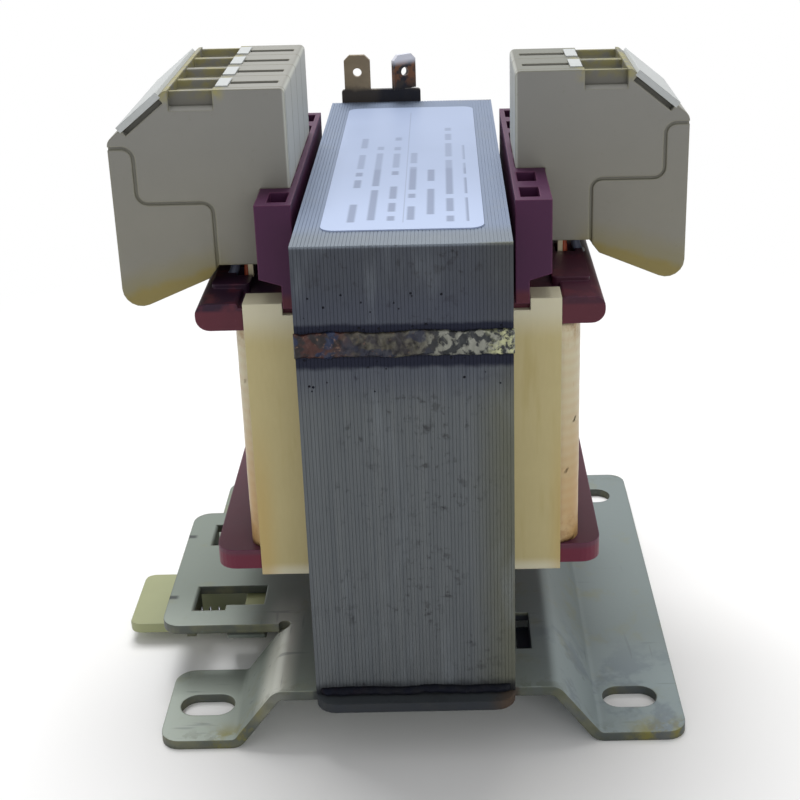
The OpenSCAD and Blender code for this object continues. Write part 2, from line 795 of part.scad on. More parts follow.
// Blade with clipped corners and a hole, round the line x
module blade(x) {
    top = core_top + blade_rise;
    difference() {
        polygon([[x - blade_w / 2, core_top - 1], [x + blade_w / 2, core_top - 1],
            [x + blade_w / 2, top - 1], [x + blade_w / 2 - 1, top],
            [x - blade_w / 2 + 1, top], [x - blade_w / 2, top - 1]]);
        translate([x, top - 3.2])
            circle(r = 0.8);
    }
}

module earth_tab() color("#8f9088") {
    reach = blade_dx / 2 + blade_w / 2 + 0.6;
    along_y(core_l / 2, core_l / 2 + blade_t) {
        difference() {
            polygon(rounded([[earth_x - reach, core_top - web_drop, 1],
                [earth_x + reach, core_top - web_drop, 1],
                [earth_x + reach, core_top + web_rise, 0.5],
                [earth_x - reach, core_top + web_rise, 0.5]]));
            translate([earth_x - blade_dx / 2, core_top + 0.9])
                circle(r = 0.7);
        }
        blade(earth_x - blade_dx / 2);
    }
    // Right blade, turned about its own middle
    translate([earth_x + blade_dx / 2, core_l / 2 + blade_t / 2, 0])
        rotate([0, 0, blade_twist])
            intersection() {
                along_y(-blade_t / 2, blade_t / 2)
                    blade(0);
                box([-blade_w, -blade_w, core_top + web_rise],
                    [blade_w, blade_w, core_top + blade_rise + cut]);
            }
}

// ---------- Terminal rows ----------

pole_mid = (pole_pitch - pole_wall) / 2;
row_top = carrier_top + block_rise;
seat_x = carrier_x + carrier_w + 0.1;
bevel_x = block_x + block_w - bevel_w;
tip_z = carrier_top - block_drop;
under_z = tip_z + skirt_rise + under_rise;
ridge_w = 0.5;
skirt_step = 1.6;
strip_foot = 2.4;
chamber_rise = 4.4;
screw_x = bevel_x - ridge_w - recess_l / 2;
// Heights of the clamp: floor of the chamber, current bar, shoulder under the screw head
cage_z = tip_z + skirt_rise + chamber_rise;
cage_h = cage_wall + entry_h + 2.2;
bar_z = cage_z + cage_wall + entry_h - bar_t - 0.3;
head_z = cage_z + cage_h + 3;
bar_x = seat_x + 2.2;
pin_z = bobbin_top + 1;

// Outline of a housing, seated on the top and outer side of the carrier
function block_outline() = rounded([
    [block_x, carrier_top, 0],
    [block_x, row_top, 0.8],
    [bevel_x, row_top, 0.8],
    [block_x + block_w, row_top - bevel_h, 1.5],
    [block_x + block_w, tip_z, 2.8],
    [block_x + skirt_x, tip_z + skirt_rise, 0.6],
    [block_x + skirt_x - skirt_step, under_z, 0],
    [seat_x, under_z, 0],
    [seat_x, carrier_top, 0]]);

// Marker strip on the bevel, or the recess for it, from below to above the bevel's face
bevel_dir = unit([bevel_w, -bevel_h]);
bevel_out = left_of(bevel_dir);
function strip_outline(under, over, grow) =
    let (a = [bevel_x, row_top] + bevel_dir * (1 - grow),
         b = [block_x + block_w, row_top - bevel_h] - bevel_dir * (strip_foot - grow))
    [a - bevel_out * under, a + bevel_out * over, b + bevel_out * over, b - bevel_out * under];

// One terminal housing; its chamber is open to the front and closed by what stands before it
module pole_housing() {
    difference() {
        along_y(0, pole_pitch)
            polygon(block_outline());
        // Chamber for the clamp cage
        box([screw_x - cage_l / 2 - 0.2, -cut, cage_z], [screw_x + cage_l / 2 + 0.2, pole_pitch - pole_wall,
            cage_z + cage_h + 0.4]);
        // Conductor entry from outside
        box([screw_x, pole_mid - entry_w / 2, cage_z + cage_wall],
            [block_x + block_w + cut, pole_mid + entry_w / 2, cage_z + cage_wall + entry_h]);
        // Channel for the current bar, then down and out below
        box([bar_x, -cut, bar_z], [screw_x, pole_mid + bar_w / 2 + 0.2, bar_z + bar_t + 0.2]);
        box([bar_x - 0.1, -cut, under_z - cut],
            [bar_x + bar_t, pole_mid + bar_w / 2 + 0.2, bar_z + bar_t + 0.2]);
        // Screw and screwdriver holes
        translate([screw_x, pole_mid, cage_z + cage_h])
            cylinder(d = screw_d + 0.4, h = row_top);
        translate([screw_x, pole_mid, head_z])
            cylinder(d = driver_d, h = row_top);
        // Recess round the screw hole, between low walls
        box([screw_x - recess_l / 2, pole_wall / 2, row_top - screw_recess],
            [screw_x + recess_l / 2, pole_pitch - pole_wall / 2, row_top + cut]);
        box([screw_x - recess_l / 2, -cut, row_top - wall_drop],
            [screw_x + recess_l / 2, pole_pitch + cut, row_top + cut]);
        // Slot for a cross link, and seat of the marker tag
        box([block_x + 1.3, pole_mid - link_slot_w / 2, row_top - link_slot_d],
            [block_x + 1.3 + link_slot_l, pole_mid + link_slot_w / 2, row_top + cut]);
        box([screw_x - recess_l / 2 - tag_w, pole_mid - tag_l / 2, row_top - tag_seat],
            [screw_x - recess_l / 2 + cut, pole_mid + tag_l / 2, row_top + cut]);
        // Recess for the marker strip
        along_y(-cut, pole_pitch + cut)
            polygon(strip_outline(strip_seat, 2, 0));
    }
}

tag_l = 5.4;
tag_seat = 0.5;
wall_drop = 0.3;
tag_gap = 0.2;
strip_seat = 0.4;
strip_under = 0.8;
strip_rest = 0.3;
rib_w = 3.8;
shoulder_rise = 12;
notch_d = 2.4;
groove_r = 1.4;

module pole(side, row_y, index) {
    on_side(side)
        translate([0, row_y + end_plate_t + (index - 1) * pole_pitch, 0])
            pole_housing();
}

module left_pole_1() color("#a8a797") pole(-1, left_row_y, 1);
module left_pole_2() color("#a8a797") pole(-1, left_row_y, 2);
module left_pole_3() color("#a8a797") pole(-1, left_row_y, 3);
module left_pole_4() color("#a8a797") pole(-1, left_row_y, 4);
module right_pole_1() color("#a8a797") pole(1, right_row_y, 1);
module right_pole_2() color("#a8a797") pole(1, right_row_y, 2);

// End plate in front of a row, with the outline of the skirt as a groove
module end_plate() {
    outer_x = block_x + block_w;
    rib_x = outer_x - rib_w;
    rib_z = row_top - bevel_h - 0.8;
    step_x = block_x + skirt_x - skirt_step;
    shoulder_z = tip_z + skirt_rise + shoulder_rise;
    notch_x0 = screw_x - recess_l / 2;
    notch_x1 = bevel_x - ridge_w;
    notch_z = row_top - notch_d;
    difference() {
        along_y(0, end_plate_t)
            polygon(block_outline());
        along_y(-cut, groove_w)
            polygon(sheet_section([[outer_x + cut, rib_z], [rib_x, rib_z], [rib_x, shoulder_z],
                [step_x, shoulder_z], [step_x, under_z - cut]], groove_r, groove_w));
        // Notch in front of the first screw, with a sloped sill
        box([notch_x0, -cut, notch_z], [notch_x1, end_plate_t + cut, row_top + cut]);
        along_x(notch_x0, notch_x1)
            polygon([[-cut, notch_z - end_plate_t], [end_plate_t * 0.7, notch_z],
                [end_plate_t * 0.7, notch_z + cut], [-cut, notch_z + cut]]);
        // Seat of the marker strip and the gap under it
        along_y(-cut, end_plate_t + cut) {
            polygon(strip_outline(strip_seat, 2, 0));
            polygon(strip_outline(strip_seat + strip_under, 2, -strip_rest));
        }
    }
}

module left_end_plate() color("#9d9c8c")
    on_side(-1)
        translate([0, left_row_y, 0])
            end_plate();

module right_end_plate() color("#9d9c8c")
    on_side(1)
        translate([0, right_row_y, 0])
            end_plate();

module marker_strip(side, row_y, poles) {
    on_side(side)
        along_y(row_y, row_y + end_plate_t + poles * pole_pitch)
            polygon(strip_outline(strip_seat, strip_t - strip_seat, 0));
}

module left_marker_strip() color("#dfe3e6") marker_strip(-1, left_row_y, left_poles);
module right_marker_strip() color("#dfe3e6") marker_strip(1, right_row_y, right_poles);

// Puts its children at the middle of every pole on both sides
module at_poles() {
    for (row = [[-1, left_row_y, left_poles], [1, right_row_y, right_poles]], k = [0:row[2] - 1])
        on_side(row[0])
            translate([0, row[1] + end_plate_t + k * pole_pitch + pole_mid, 0])
                children();
}

module pole_tags() color("#dfe0d8")
    at_poles()
        box([screw_x - recess_l / 2 - tag_w, -tag_l / 2, row_top - tag_seat],
            [screw_x - recess_l / 2 - tag_gap, tag_l / 2, row_top + tag_gap]);

module clamp_cages() color("#b9b7aa")
    at_poles()
        difference() {
            box([screw_x - cage_l / 2, -cage_w / 2, cage_z],
                [screw_x + cage_l / 2, cage_w / 2, cage_z + cage_h]);
            box([screw_x - cage_l / 2 - cut, -cage_w / 2 + cage_wall, cage_z + cage_wall],
                [screw_x + cage_l / 2 + cut, cage_w / 2 - cage_wall, cage_z + cage_wall + entry_h]);
            translate([screw_x, 0, cage_z])
                cylinder(d = screw_d, h = cage_h + cut);
        }

module clamp_screws() color("#c3c2b8")
    at_poles()
        translate([screw_x, 0, 0])
            difference() {
                union() {
                    translate([0, 0, bar_z + bar_t])
                        cylinder(d = screw_d, h = head_z - bar_z - bar_t);
                    translate([0, 0, head_z])
                        cylinder(d = screw_head_d, h = screw_head_h);
                }
                box([-screw_head_d, -0.4, head_z + screw_head_h - 1],
                    [screw_head_d, 0.4, head_z + screw_head_h + cut]);
            }

module current_bars() color("#c9bfa0")
    at_poles()
        along_y(-bar_w / 2, bar_w / 2)
            polygon(sheet_section([[bar_x, pin_z],
                [bar_x, bar_z + bar_t], [screw_x + cage_l / 2, bar_z + bar_t]],
                0.4, -bar_t));

module coil_leads() color("#a8442a")
    at_poles()
        translate([bar_x + bar_t + lead_d / 2, 0, bobbin_top])
            cylinder(d = lead_d, h = under_z - bobbin_top);

// ---------- Nodes ----------

base_bracket();
rail_latch();
latch_springs();
foot_welds();
core_e_stack();
core_i_stack();
core_welds();
bobbin();
inner_winding();
interlayer_insulation();
outer_winding();
outer_tape();
front_panel();
rear_panel();
rating_label();
earth_tab();
left_pole_1();
left_pole_2();
left_pole_3();
left_pole_4();
left_end_plate();
left_marker_strip();
right_pole_1();
right_pole_2();
right_end_plate();
right_marker_strip();
pole_tags();
clamp_cages();
clamp_screws();
current_bars();
coil_leads();
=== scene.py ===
# %% [markdown]
# # A chassis transformer, dressed
# A small control transformer shows what it is made of: punched electrical steel, a wound coil,
# moulded nylon and folded zinc-plated sheet. The solid model gives every true shape and size.
# This lesson loads it, sets the camera and the light, and gives each piece its finish.

# %% Load the fixed frame
import bpy
import bmesh
import math
import random
from mathutils import Matrix, Vector, noise


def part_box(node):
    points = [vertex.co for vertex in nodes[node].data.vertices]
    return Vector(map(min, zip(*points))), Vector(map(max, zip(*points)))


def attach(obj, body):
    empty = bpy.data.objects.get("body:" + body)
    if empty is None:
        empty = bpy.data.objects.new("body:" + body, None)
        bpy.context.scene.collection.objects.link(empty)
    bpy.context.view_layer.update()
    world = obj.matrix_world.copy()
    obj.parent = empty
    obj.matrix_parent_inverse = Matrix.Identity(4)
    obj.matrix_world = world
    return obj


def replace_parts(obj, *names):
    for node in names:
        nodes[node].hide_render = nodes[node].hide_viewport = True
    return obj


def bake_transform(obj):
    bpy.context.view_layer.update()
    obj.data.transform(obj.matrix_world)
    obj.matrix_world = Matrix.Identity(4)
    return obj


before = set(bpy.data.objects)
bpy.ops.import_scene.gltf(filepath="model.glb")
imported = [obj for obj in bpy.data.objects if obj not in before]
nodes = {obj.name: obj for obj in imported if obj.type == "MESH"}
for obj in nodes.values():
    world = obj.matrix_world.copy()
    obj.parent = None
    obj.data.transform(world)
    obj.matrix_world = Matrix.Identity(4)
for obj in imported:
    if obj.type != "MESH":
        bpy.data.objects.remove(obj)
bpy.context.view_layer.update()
MM = 0.001

# %% [markdown]
# The main places come from the frame itself, so that the finishes follow the model when a size
# changes: the foot of the core, which stands on the bracket, the joint between its two halves, the
# top of the yoke, the sides and ends of the stack, and the middle of the rail clip.

# %% Places that the finishes need
core_low, core_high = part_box("core_e_stack")
latch_low, latch_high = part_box("rail_latch")
BASE_Z = core_low.z
JOINT_Z = core_high.z
TOP_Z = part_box("core_i_stack")[1].z
CORE_Y = core_high.y
STACK_X = core_high.x
CLIP_Y = (latch_low.y + latch_high.y) / 2
print("core joint at %.1f mm, yoke top at %.1f mm" % (JOINT_Z / MM, TOP_Z / MM))

# %% [markdown]
# The camera stands close in front of the core and looks down on it, so that the top of the yoke
# and the label on it show. It is turned a little about each axis. A small shift of the lens
# brings the part to the middle of the view without turning the camera further.

# %% Camera
EYE = Vector((6.2, -219.0, 139.2)) * MM
PITCH, ROLL, YAW = math.radians(20.75), math.radians(1.4), math.radians(0.4)
SENSOR = 36.0
FOCAL = 1.78 * SENSOR
SHIFT_X, SHIFT_Y = -0.05, -0.125
camera_data = bpy.data.cameras.new("camera")
camera_data.sensor_width = SENSOR
camera_data.lens = FOCAL
camera_data.shift_x = SHIFT_X
camera_data.shift_y = SHIFT_Y
camera_data.clip_start = 5 * MM
camera = bpy.data.objects.new("camera", camera_data)
bpy.context.scene.collection.objects.link(camera)
turn = (Matrix.Rotation(YAW, 4, "Z") @ Matrix.Rotation(-PITCH, 4, "X")
        @ Matrix.Rotation(ROLL, 4, "Y") @ Matrix.Rotation(math.radians(90), 4, "X"))
camera.matrix_world = Matrix.Translation(EYE) @ turn
bpy.context.scene.camera = camera
print("lens %.1f mm at %.0f mm from the core" % (camera_data.lens, -EYE.y / MM + CORE_Y / MM))

# %% [markdown]
# Shader maths reads best as plain expressions. This small class stands for one output socket of
# one material, and each operator on it adds the Math node that does it. Any other node comes
# from `add`, which takes the node's type, its settings, and what goes into its sockets.

# %% A material and its sockets
def operator(operation, swapped=False):
    """Method that adds the Math node for one of Python's operators."""
    def method(self, other):
        first, second = (other, self) if swapped else (self, other)
        return self.math(operation, first, second)
    return method


class Value:
    """One output socket, with arithmetic that adds Math nodes."""

    __add__ = operator("ADD")
    __radd__ = operator("ADD", swapped=True)
    __sub__ = operator("SUBTRACT")
    __rsub__ = operator("SUBTRACT", swapped=True)
    __mul__ = operator("MULTIPLY")
    __truediv__ = operator("DIVIDE")
    __pow__ = operator("POWER")
    __gt__ = operator("GREATER_THAN")
    __lt__ = operator("LESS_THAN")
    least = operator("MINIMUM")
    most = operator("MAXIMUM")

    def __init__(self, finish, socket):
        self.finish = finish
        self.socket = socket

    def math(self, operation, *inputs):
        return self.finish.add("ShaderNodeMath", {"operation": operation}, dict(enumerate(inputs)))

    def __abs__(self):
        return self.math("ABSOLUTE", self)

    def floor(self):
        return self.math("FLOOR", self)

    def fraction(self):
        return self.math("FRACT", self)

    def ramp(self, low, high, low_to=0.0, high_to=1.0):
        """Smooth step from low_to at low to high_to at high."""
        settings = {"interpolation_type": "SMOOTHSTEP"}
        return self.finish.add("ShaderNodeMapRange", settings, {
            "Value": self, "From Min": low, "From Max": high, "To Min": low_to, "To Max": high_to})


class Finish:
    """One procedural material on Object coordinates."""

    def __init__(self, name):
        self.material = bpy.data.materials.new(name)
        self.material.use_nodes = True
        self.tree = self.material.node_tree
        self.shader = self.tree.nodes["Principled BSDF"]
        self.place = self.add("ShaderNodeTexCoord", {}, {}, "Object")
        parts = self.add("ShaderNodeSeparateXYZ", {}, {"Vector": self.place}, None)
        self.x, self.y, self.z = (Value(self, s) for s in parts.outputs)
        self.true_normal = self.add("ShaderNodeNewGeometry", {}, {}, "True Normal")

    def add(self, kind, settings, inputs, output=0):
        """Adds a node: its type, its settings, its inputs, and the output that is wanted."""
        node = self.tree.nodes.new(kind)
        for name, value in settings.items():
            setattr(node, name, value)
        for name, value in inputs.items():
            if isinstance(value, Value):
                self.tree.links.new(value.socket, node.inputs[name])
            else:
                node.inputs[name].default_value = value
        return node if output is None else Value(self, node.outputs[output])

    def upward(self):
        """How far the surface faces up: 1 on a level top, 0 on an upright wall."""
        return self.add("ShaderNodeSeparateXYZ", {}, {"Vector": self.true_normal}, "Z")

    def stretched(self, x, y, z):
        """Places scaled along each axis. A small factor draws a pattern out along that axis."""
        return self.add("ShaderNodeVectorMath", {"operation": "MULTIPLY"}, {0: self.place, 1: (x, y, z)})

    def noise(self, size, detail=3.0, rough=0.5, place=None):
        """Cloudy noise from 0 to 1 whose features are about this many millimetres."""
        return self.add("ShaderNodeTexNoise", {}, {
            "Vector": place or self.place, "Scale": 1.0 / (size * MM), "Detail": detail, "Roughness": rough})

    def random(self, value):
        """One random number from 0 to 1 for each whole number."""
        return self.add("ShaderNodeTexWhiteNoise", {"noise_dimensions": "1D"}, {"W": value}, "Value")

    def mix(self, first, second, share):
        """Colour between two colours. The node's colour sockets share names, so they go by number."""
        node = self.add("ShaderNodeMix", {"data_type": "RGBA"}, {}, None)
        for index, value in ((0, share), (6, first), (7, second)):
            if isinstance(value, Value):
                self.tree.links.new(value.socket, node.inputs[index])
            else:
                node.inputs[index].default_value = value
        return Value(self, node.outputs[2])

    def bump(self, height, strength, depth, normal=None):
        """Small relief of this depth in millimetres, on top of a soft-edged normal if one is given."""
        sockets = {"Height": height, "Strength": strength, "Distance": depth * MM}
        if normal is not None:
            sockets["Normal"] = normal
        self.set(Normal=self.add("ShaderNodeBump", {}, sockets, "Normal"))

    def set(self, **sockets):
        """Sets the shader's own sockets, by link or by value. Underscores stand for spaces."""
        for name, value in sockets.items():
            socket = self.shader.inputs[name.replace("_", " ")]
            if isinstance(value, Value):
                self.tree.links.new(value.socket, socket)
            else:
                socket.default_value = value


def tone(hex_code):
    """Linear colour of a six-digit colour code."""
    parts = [int(hex_code[i:i + 2], 16) / 255.0 for i in (0, 2, 4)]
    return tuple(c / 12.92 if c <= 0.04045 else ((c + 0.055) / 1.055) ** 2.4 for c in parts) + (1.0,)


print("tools for finishes are ready")

# %% [markdown]
# Moulded and folded edges are never quite sharp. A Bevel node reads the shape round each point
# and rounds the normal near an edge, so an edge catches the light without more geometry. How far
# that normal leans from the true one also tells where the edges are, for painted highlights on the
# rims and for stains along them. A band between two places, with soft ends, is the other mask that
# most finishes use.

# %% Soft edges and bands
def soft_edges(f, radius):
    """Rounded normal of a finish, and a mask from 0 to 1 that is 1 on the edges."""
    bent = f.add("ShaderNodeBevel", {"samples": 6}, {"Radius": radius * MM})
    dot = {"operation": "DOT_PRODUCT"}
    agreement = f.add("ShaderNodeVectorMath", dot, {0: bent, 1: f.true_normal}, "Value")
    return bent, (1.0 - agreement).ramp(0.02, 0.22)


def between(value, low, high, soft):
    """1 between two places and 0 outside them, with soft ends."""
    return value.ramp(low - soft, low + soft) * value.ramp(high + soft, high - soft)


print("soft edges and bands ready")

# %% [markdown]
# The core is punched from electrical steel, half a millimetre thick. Seen from the end, each
# sheet shows its own cut edge, a little lighter or darker than its neighbour. The two halves are
# welded together across the joint, which leaves a dark band of scale with a blue rim, and the
# foot is welded to the bracket, which leaves soot. All of that follows from X, Y and Z alone.

# %% Core steel
SHEET = 0.5 * MM
MIDDLE_SHEET = 200.02


def core_steel():
    f = Finish("core_steel")
    # Each sheet has a number. It is about 200 in the middle, so that none is negative
    sheet = f.x / SHEET + MIDDLE_SHEET
    edge = abs(sheet.fraction() - 0.5) * 2.0
    on_end = abs(f.y).ramp(CORE_Y - 0.6 * MM, CORE_Y - 0.15 * MM)
    on_top = f.z.ramp(TOP_Z - 0.5 * MM, TOP_Z - 0.1 * MM)
    cut_face = on_end.most(on_top)
    shade = f.random(sheet.floor())
    streak = f.noise(0.7, 4.0, 0.6, f.stretched(1.0, 0.04, 0.04))
    cloud = f.noise(14.0, 4.0, 0.55)
    grain = f.noise(0.8, 4.0, 0.65, f.stretched(1.0, 1.0, 0.05))
    # Rolled faces, with the blue of the anneal in clouds
    rolled = f.mix(tone("4d5156"), tone("686c70"), cloud * 0.6 + grain * 0.4)
    rolled = f.mix(rolled, tone("454a66"), f.noise(20.0, 3.0, 0.6).ramp(0.48, 0.62) * 0.5)
    # Cut edges: bluer on the top, olive towards the right, darker above
    cut = f.mix(tone("4c5156"), tone("666a6c"), shade * 0.3 + streak * 0.7)
    cut = f.mix(cut, tone("76839a"), on_top * 0.85)
    cut = f.mix(cut, tone("6f767c"), on_top * f.y.ramp(-CORE_Y + 9 * MM, -CORE_Y + 3 * MM) * 0.8)
    olive = (f.x + (cloud - 0.5) * (4 * MM)).ramp(0.55 * STACK_X, STACK_X)
    cut = f.mix(cut, tone("5c5d4c"), olive * on_end * 0.75)
    above = f.z.ramp(JOINT_Z - 12 * MM, JOINT_Z + 8 * MM)
    cut = f.mix(cut, tone("353944"), above * on_end * (1.0 - on_top) * 0.75)
    base = f.mix(rolled, cut, cut_face)
    line = edge.ramp(0.6, 1.0) * cut_face
    base = f.mix(base, tone("33363b"), line * shade * 0.12)
    # Dark specks of scale and varnish on the ends, thicker in patches
    patch = f.noise(8.0, 3.0, 0.6).ramp(0.40, 0.60) * abs(f.x).ramp(STACK_X * 1.2, STACK_X * 0.4)
    fleck = f.noise(1.5, 4.0, 0.7).ramp(0.56, 0.68) * patch
    smear = f.noise(2.6, 4.0, 0.7).ramp(0.56, 0.66) * patch
    base = f.mix(base, tone("1b191b"), (fleck * 0.85 + smear * 0.55).least(1.0) * on_end * 0.75)
    pale = f.noise(6.0, 4.0, 0.6, f.stretched(1.0, 1.0, 0.25)).ramp(0.52, 0.72) * (0.3 + shade * 0.7)
    base = f.mix(base, tone("7a8188"), pale * cut_face * 0.35)
    # Scale and heat tint round the weld across the joint
    wander = (f.noise(2.6, 4.0, 0.65) - 0.5) * (2.2 * MM)
    high = f.z - JOINT_Z
    scale = between(high + wander * 0.3, -2.0 * MM, 2.0 * MM, 0.2 * MM) * on_end
    rims = (between(high + wander * 0.35, 1.4 * MM, 2.9 * MM, 0.3 * MM)
            + between(high + wander * 0.5, -3.5 * MM, -1.5 * MM, 0.4 * MM)) * on_end
    haze = between(high, -7.0 * MM, 7.0 * MM, 3.0 * MM) * on_end
    base = f.mix(base, tone("3d4254"), haze * 0.35)
    base = f.mix(base, f.mix(tone("3a3230"), tone("6d6656"), f.noise(1.2, 4.0, 0.7)), scale * 0.85)
    base = f.mix(base, tone("0d1226"), rims.least(1.0) * 0.97)
    # Soot above the foot weld
    soot = (f.z + wander).ramp(BASE_Z + 2.6 * MM, BASE_Z + 0.4 * MM) * on_end
    base = f.mix(base, tone("0f1119"), soot * 0.9)
    f.set(Base_Color=base, Metallic=0.35, Roughness=0.5 + cloud * 0.12 + scale * 0.2,
          Specular_IOR_Level=0.3)
    f.bump(f.noise(0.8, 5.0, 0.6) + streak * 0.3, 0.25, 0.05)
    return f.material


CORE_STEEL = core_steel()
print("core steel made")

# %% [markdown]
# The bracket is zinc-plated sheet, passivated to a dull green grey, with yellow stains where the
# bath ran off the edges. Weld smoke has darkened the tab under each end of the core.

# %% Zinc-plated sheet
HOOK_GAP = (10 * MM, 21 * MM)
LEFT_CORNER, RIGHT_CORNER = (-31 * MM, -24 * MM), (30 * MM, 36 * MM)
TABLE_EDGE = -40 * MM
WINDOW_SIDE = 9.9 * MM


def zinc_sheet():
    f = Finish("zinc_sheet")
    cloud = f.noise(12.0, 4.0, 0.6)
    fine = f.noise(0.8, 4.0, 0.65)
    normal, rim = soft_edges(f, 0.35)
    base = f.mix(tone("727b75"), tone("879089"), cloud * 0.65 + fine * 0.35)
    # Painted shade on the right wing and on the table under the left housing; painted light on the
    # front of the right wing and on the left foot, with a painted highlight along the left fold
    front = f.y.ramp(-CORE_Y + 30 * MM, -CORE_Y + 12 * MM)
    right = f.x.ramp(STACK_X - 2 * MM, STACK_X + 10 * MM)
    base = f.mix(base, tone("657074"), right * 0.6)
    base = f.mix(base, tone("8a9799"), right * front * 0.6)
    base = f.mix(base, tone("6b746c"), f.x.ramp(-STACK_X, -STACK_X - 8 * MM) * (1.0 - front) * 0.8)
    base = f.mix(base, tone("a3aba2"), f.x.ramp(-STACK_X - 8 * MM, -STACK_X - 16 * MM) * front * 0.65)
    fold = between(f.x, -STACK_X - 9 * MM, -STACK_X - 4.5 * MM, 1.5 * MM) * front
    base = f.mix(base, tone("d0d2c8"), fold * 0.9)
    stain = f.noise(9.0, 4.0, 0.65).ramp(0.52, 0.70)
    stained_rim = rim * f.noise(7.0, 2.0, 0.5).ramp(0.45, 0.65)
    base = f.mix(base, tone("77744a"), stain * 0.35 + stained_rim * 0.7)
    # Painted highlight along the rounded edges
    base = f.mix(base, tone("a3aaa6"), rim * 0.25)
    # Sheared edges are bare, dark and a little rusty
    sheared = abs(f.upward()).ramp(0.35, 0.15)
    bare = f.mix(tone("3a3d38"), tone("5c5a3e"), f.noise(5.0, 3.0, 0.6).ramp(0.4, 0.65))
    base = f.mix(base, bare, sheared * 0.8)
    drip = f.noise(2.6, 4.0, 0.65).ramp(0.50, 0.62) * abs(f.y).ramp(CORE_Y - 5 * MM, CORE_Y + 1.5 * MM)
    base = f.mix(base, tone("4b4f3a"), drip * 0.5)
    # Scratches, long along X or along Y
    scratch = f.noise(1.6, 2.0, 0.5, f.stretched(0.12, 1.0, 1.0)).ramp(0.66, 0.72)
    scratch = scratch.most(f.noise(1.4, 2.0, 0.5, f.stretched(1.0, 0.1, 1.0)).ramp(0.68, 0.74))
    base = f.mix(base, tone("636c6d"), scratch * 0.45)
    # Smoke and scale on the tab under each end of the core
    wander = (f.noise(3.0, 4.0, 0.6) - 0.5) * (3.0 * MM)
    tab = (abs(f.y) + wander * 0.4).ramp(CORE_Y - 1.2 * MM, CORE_Y - 0.4 * MM)
    tab = tab * abs(f.x).ramp(STACK_X + 0.9 * MM, STACK_X + 0.3 * MM)
    burn = f.mix(tone("181d27"), tone("3a2719"), (f.x + wander).ramp(STACK_X * 0.7, STACK_X * 0.95))
    base = f.mix(base, burn, tab * 0.92)
    # Painted shade in the opening over the far hook, below the core's foot
    below = f.z.ramp(BASE_Z - 0.2 * MM, BASE_Z - 0.8 * MM)
    hole = below * between(f.x, *HOOK_GAP, 1.0 * MM) * f.y.ramp(-CORE_Y + 12 * MM, -CORE_Y + 14 * MM)
    base = f.mix(base, tone("151b2b"), hole * 0.9)
    # Yellow where the bath ran off the front corners, blue-grey smudges round the slots
    corner = f.y.ramp(-CORE_Y + 6 * MM, -CORE_Y + 0.5 * MM) * f.noise(3.2, 4.0, 0.65).ramp(0.42, 0.58)
    corner = corner * (f.x.ramp(*RIGHT_CORNER) + between(f.x, *LEFT_CORNER, 2 * MM))
    base = f.mix(base, tone("80792f"), corner * 0.8)
    smudge = f.noise(6.0, 4.0, 0.6).ramp(0.48, 0.60) * front * right
    base = f.mix(base, tone("4f5868"), smudge * 0.4)
    # Painted shade standing for small nicks in the table's edge, one beside each window
    beside = between(abs(abs(f.y - CLIP_Y) - WINDOW_SIDE), -1.0 * MM, 0.5 * MM, 0.3 * MM)
    nick = f.x.ramp(TABLE_EDGE + 0.4 * MM, TABLE_EDGE - 0.4 * MM) * beside
    base = f.mix(base, tone("24282a"), nick * 0.9)
    f.set(Base_Color=base, Metallic=0.4 - tab * 0.3, Roughness=0.44 + cloud * 0.14 + tab * 0.3)
    f.bump(fine + scratch * 0.3, 0.2, 0.05, normal)
    return f.material


ZINC = zinc_sheet()
print("zinc sheet made")

# %% [markdown]
# The bobbin is glass-filled nylon. It is nearly black where it turns from the light, purple on
# the terminal carriers and redder on the flanges, with a pale pink painted highlight on its edges.

# %% Bobbin nylon
LOWER_RIM_Z = 25 * MM


def bobbin_plastic():
    f = Finish("bobbin_plastic")
    cloud = f.noise(7.0, 3.0, 0.55)
    normal, rim = soft_edges(f, 0.3)
    carrier = f.mix(tone("3e1a3a"), tone("4b2343"), cloud)
    flange = f.mix(tone("4c202c"), tone("5f2a36"), cloud)
    flange = f.mix(flange, tone("5f3a4c"), f.z.ramp(JOINT_Z - 20 * MM, JOINT_Z - 30 * MM) * 0.6)
    flange = f.mix(flange, tone("6d2336"), f.z.ramp(LOWER_RIM_Z + 0.4 * MM, LOWER_RIM_Z - 0.4 * MM) * 0.7)
    base = f.mix(flange, carrier, f.z.ramp(JOINT_Z + 1.2 * MM, JOINT_Z + 2.6 * MM))
    # Pale pink painted highlight on the rounded edges
    base = f.mix(base, tone("8d4f70"), rim * 0.45)
    # Painted shade on the ears beside the yoke, under the housings, deeper on the left
    ear_shade = f.z.ramp(JOINT_Z - 0.9 * MM, JOINT_Z - 0.3 * MM) * f.z.ramp(JOINT_Z + 3 * MM, JOINT_Z + 1 * MM)
    ear_shade = ear_shade * abs(f.x).ramp(STACK_X + 3 * MM, STACK_X + 6 * MM)
    ear_shade = ear_shade * f.noise(4.0, 3.0, 0.6).ramp(0.30, 0.50)
    base = f.mix(base, tone("1b1228"), ear_shade * f.x.ramp(STACK_X, -STACK_X, 0.5, 0.85))
    fibre = f.noise(0.5, 3.0, 0.6, f.stretched(1.0, 0.25, 1.0))
    base = f.mix(base, tone("7a4a5c"), fibre.ramp(0.62, 0.75) * 0.18)
    f.set(Base_Color=base, Roughness=0.42 + cloud * 0.12, Specular_IOR_Level=0.22)
    f.bump(fibre, 0.15, 0.04, normal)
    return f.material


MAROON = bobbin_plastic()
print("bobbin nylon made")

# %% [markdown]
# The terminal housings are pebble-grey thermoplastic, moulded pole by pole and clipped in a row.
# A fine dark seam shows between two poles. Age has turned the thin lower tips and the walls round
# the screws a translucent olive yellow.

# %% Terminal housings
pole_low, pole_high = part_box("right_pole_1")
POLE = pole_high.y - pole_low.y
ROW_TOP, TIP_Z = pole_high.z, pole_low.z
OUTER_X, INNER_X = pole_high.x, pole_low.x
SCREW_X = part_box("clamp_screws")[1].x - 2.2 * MM


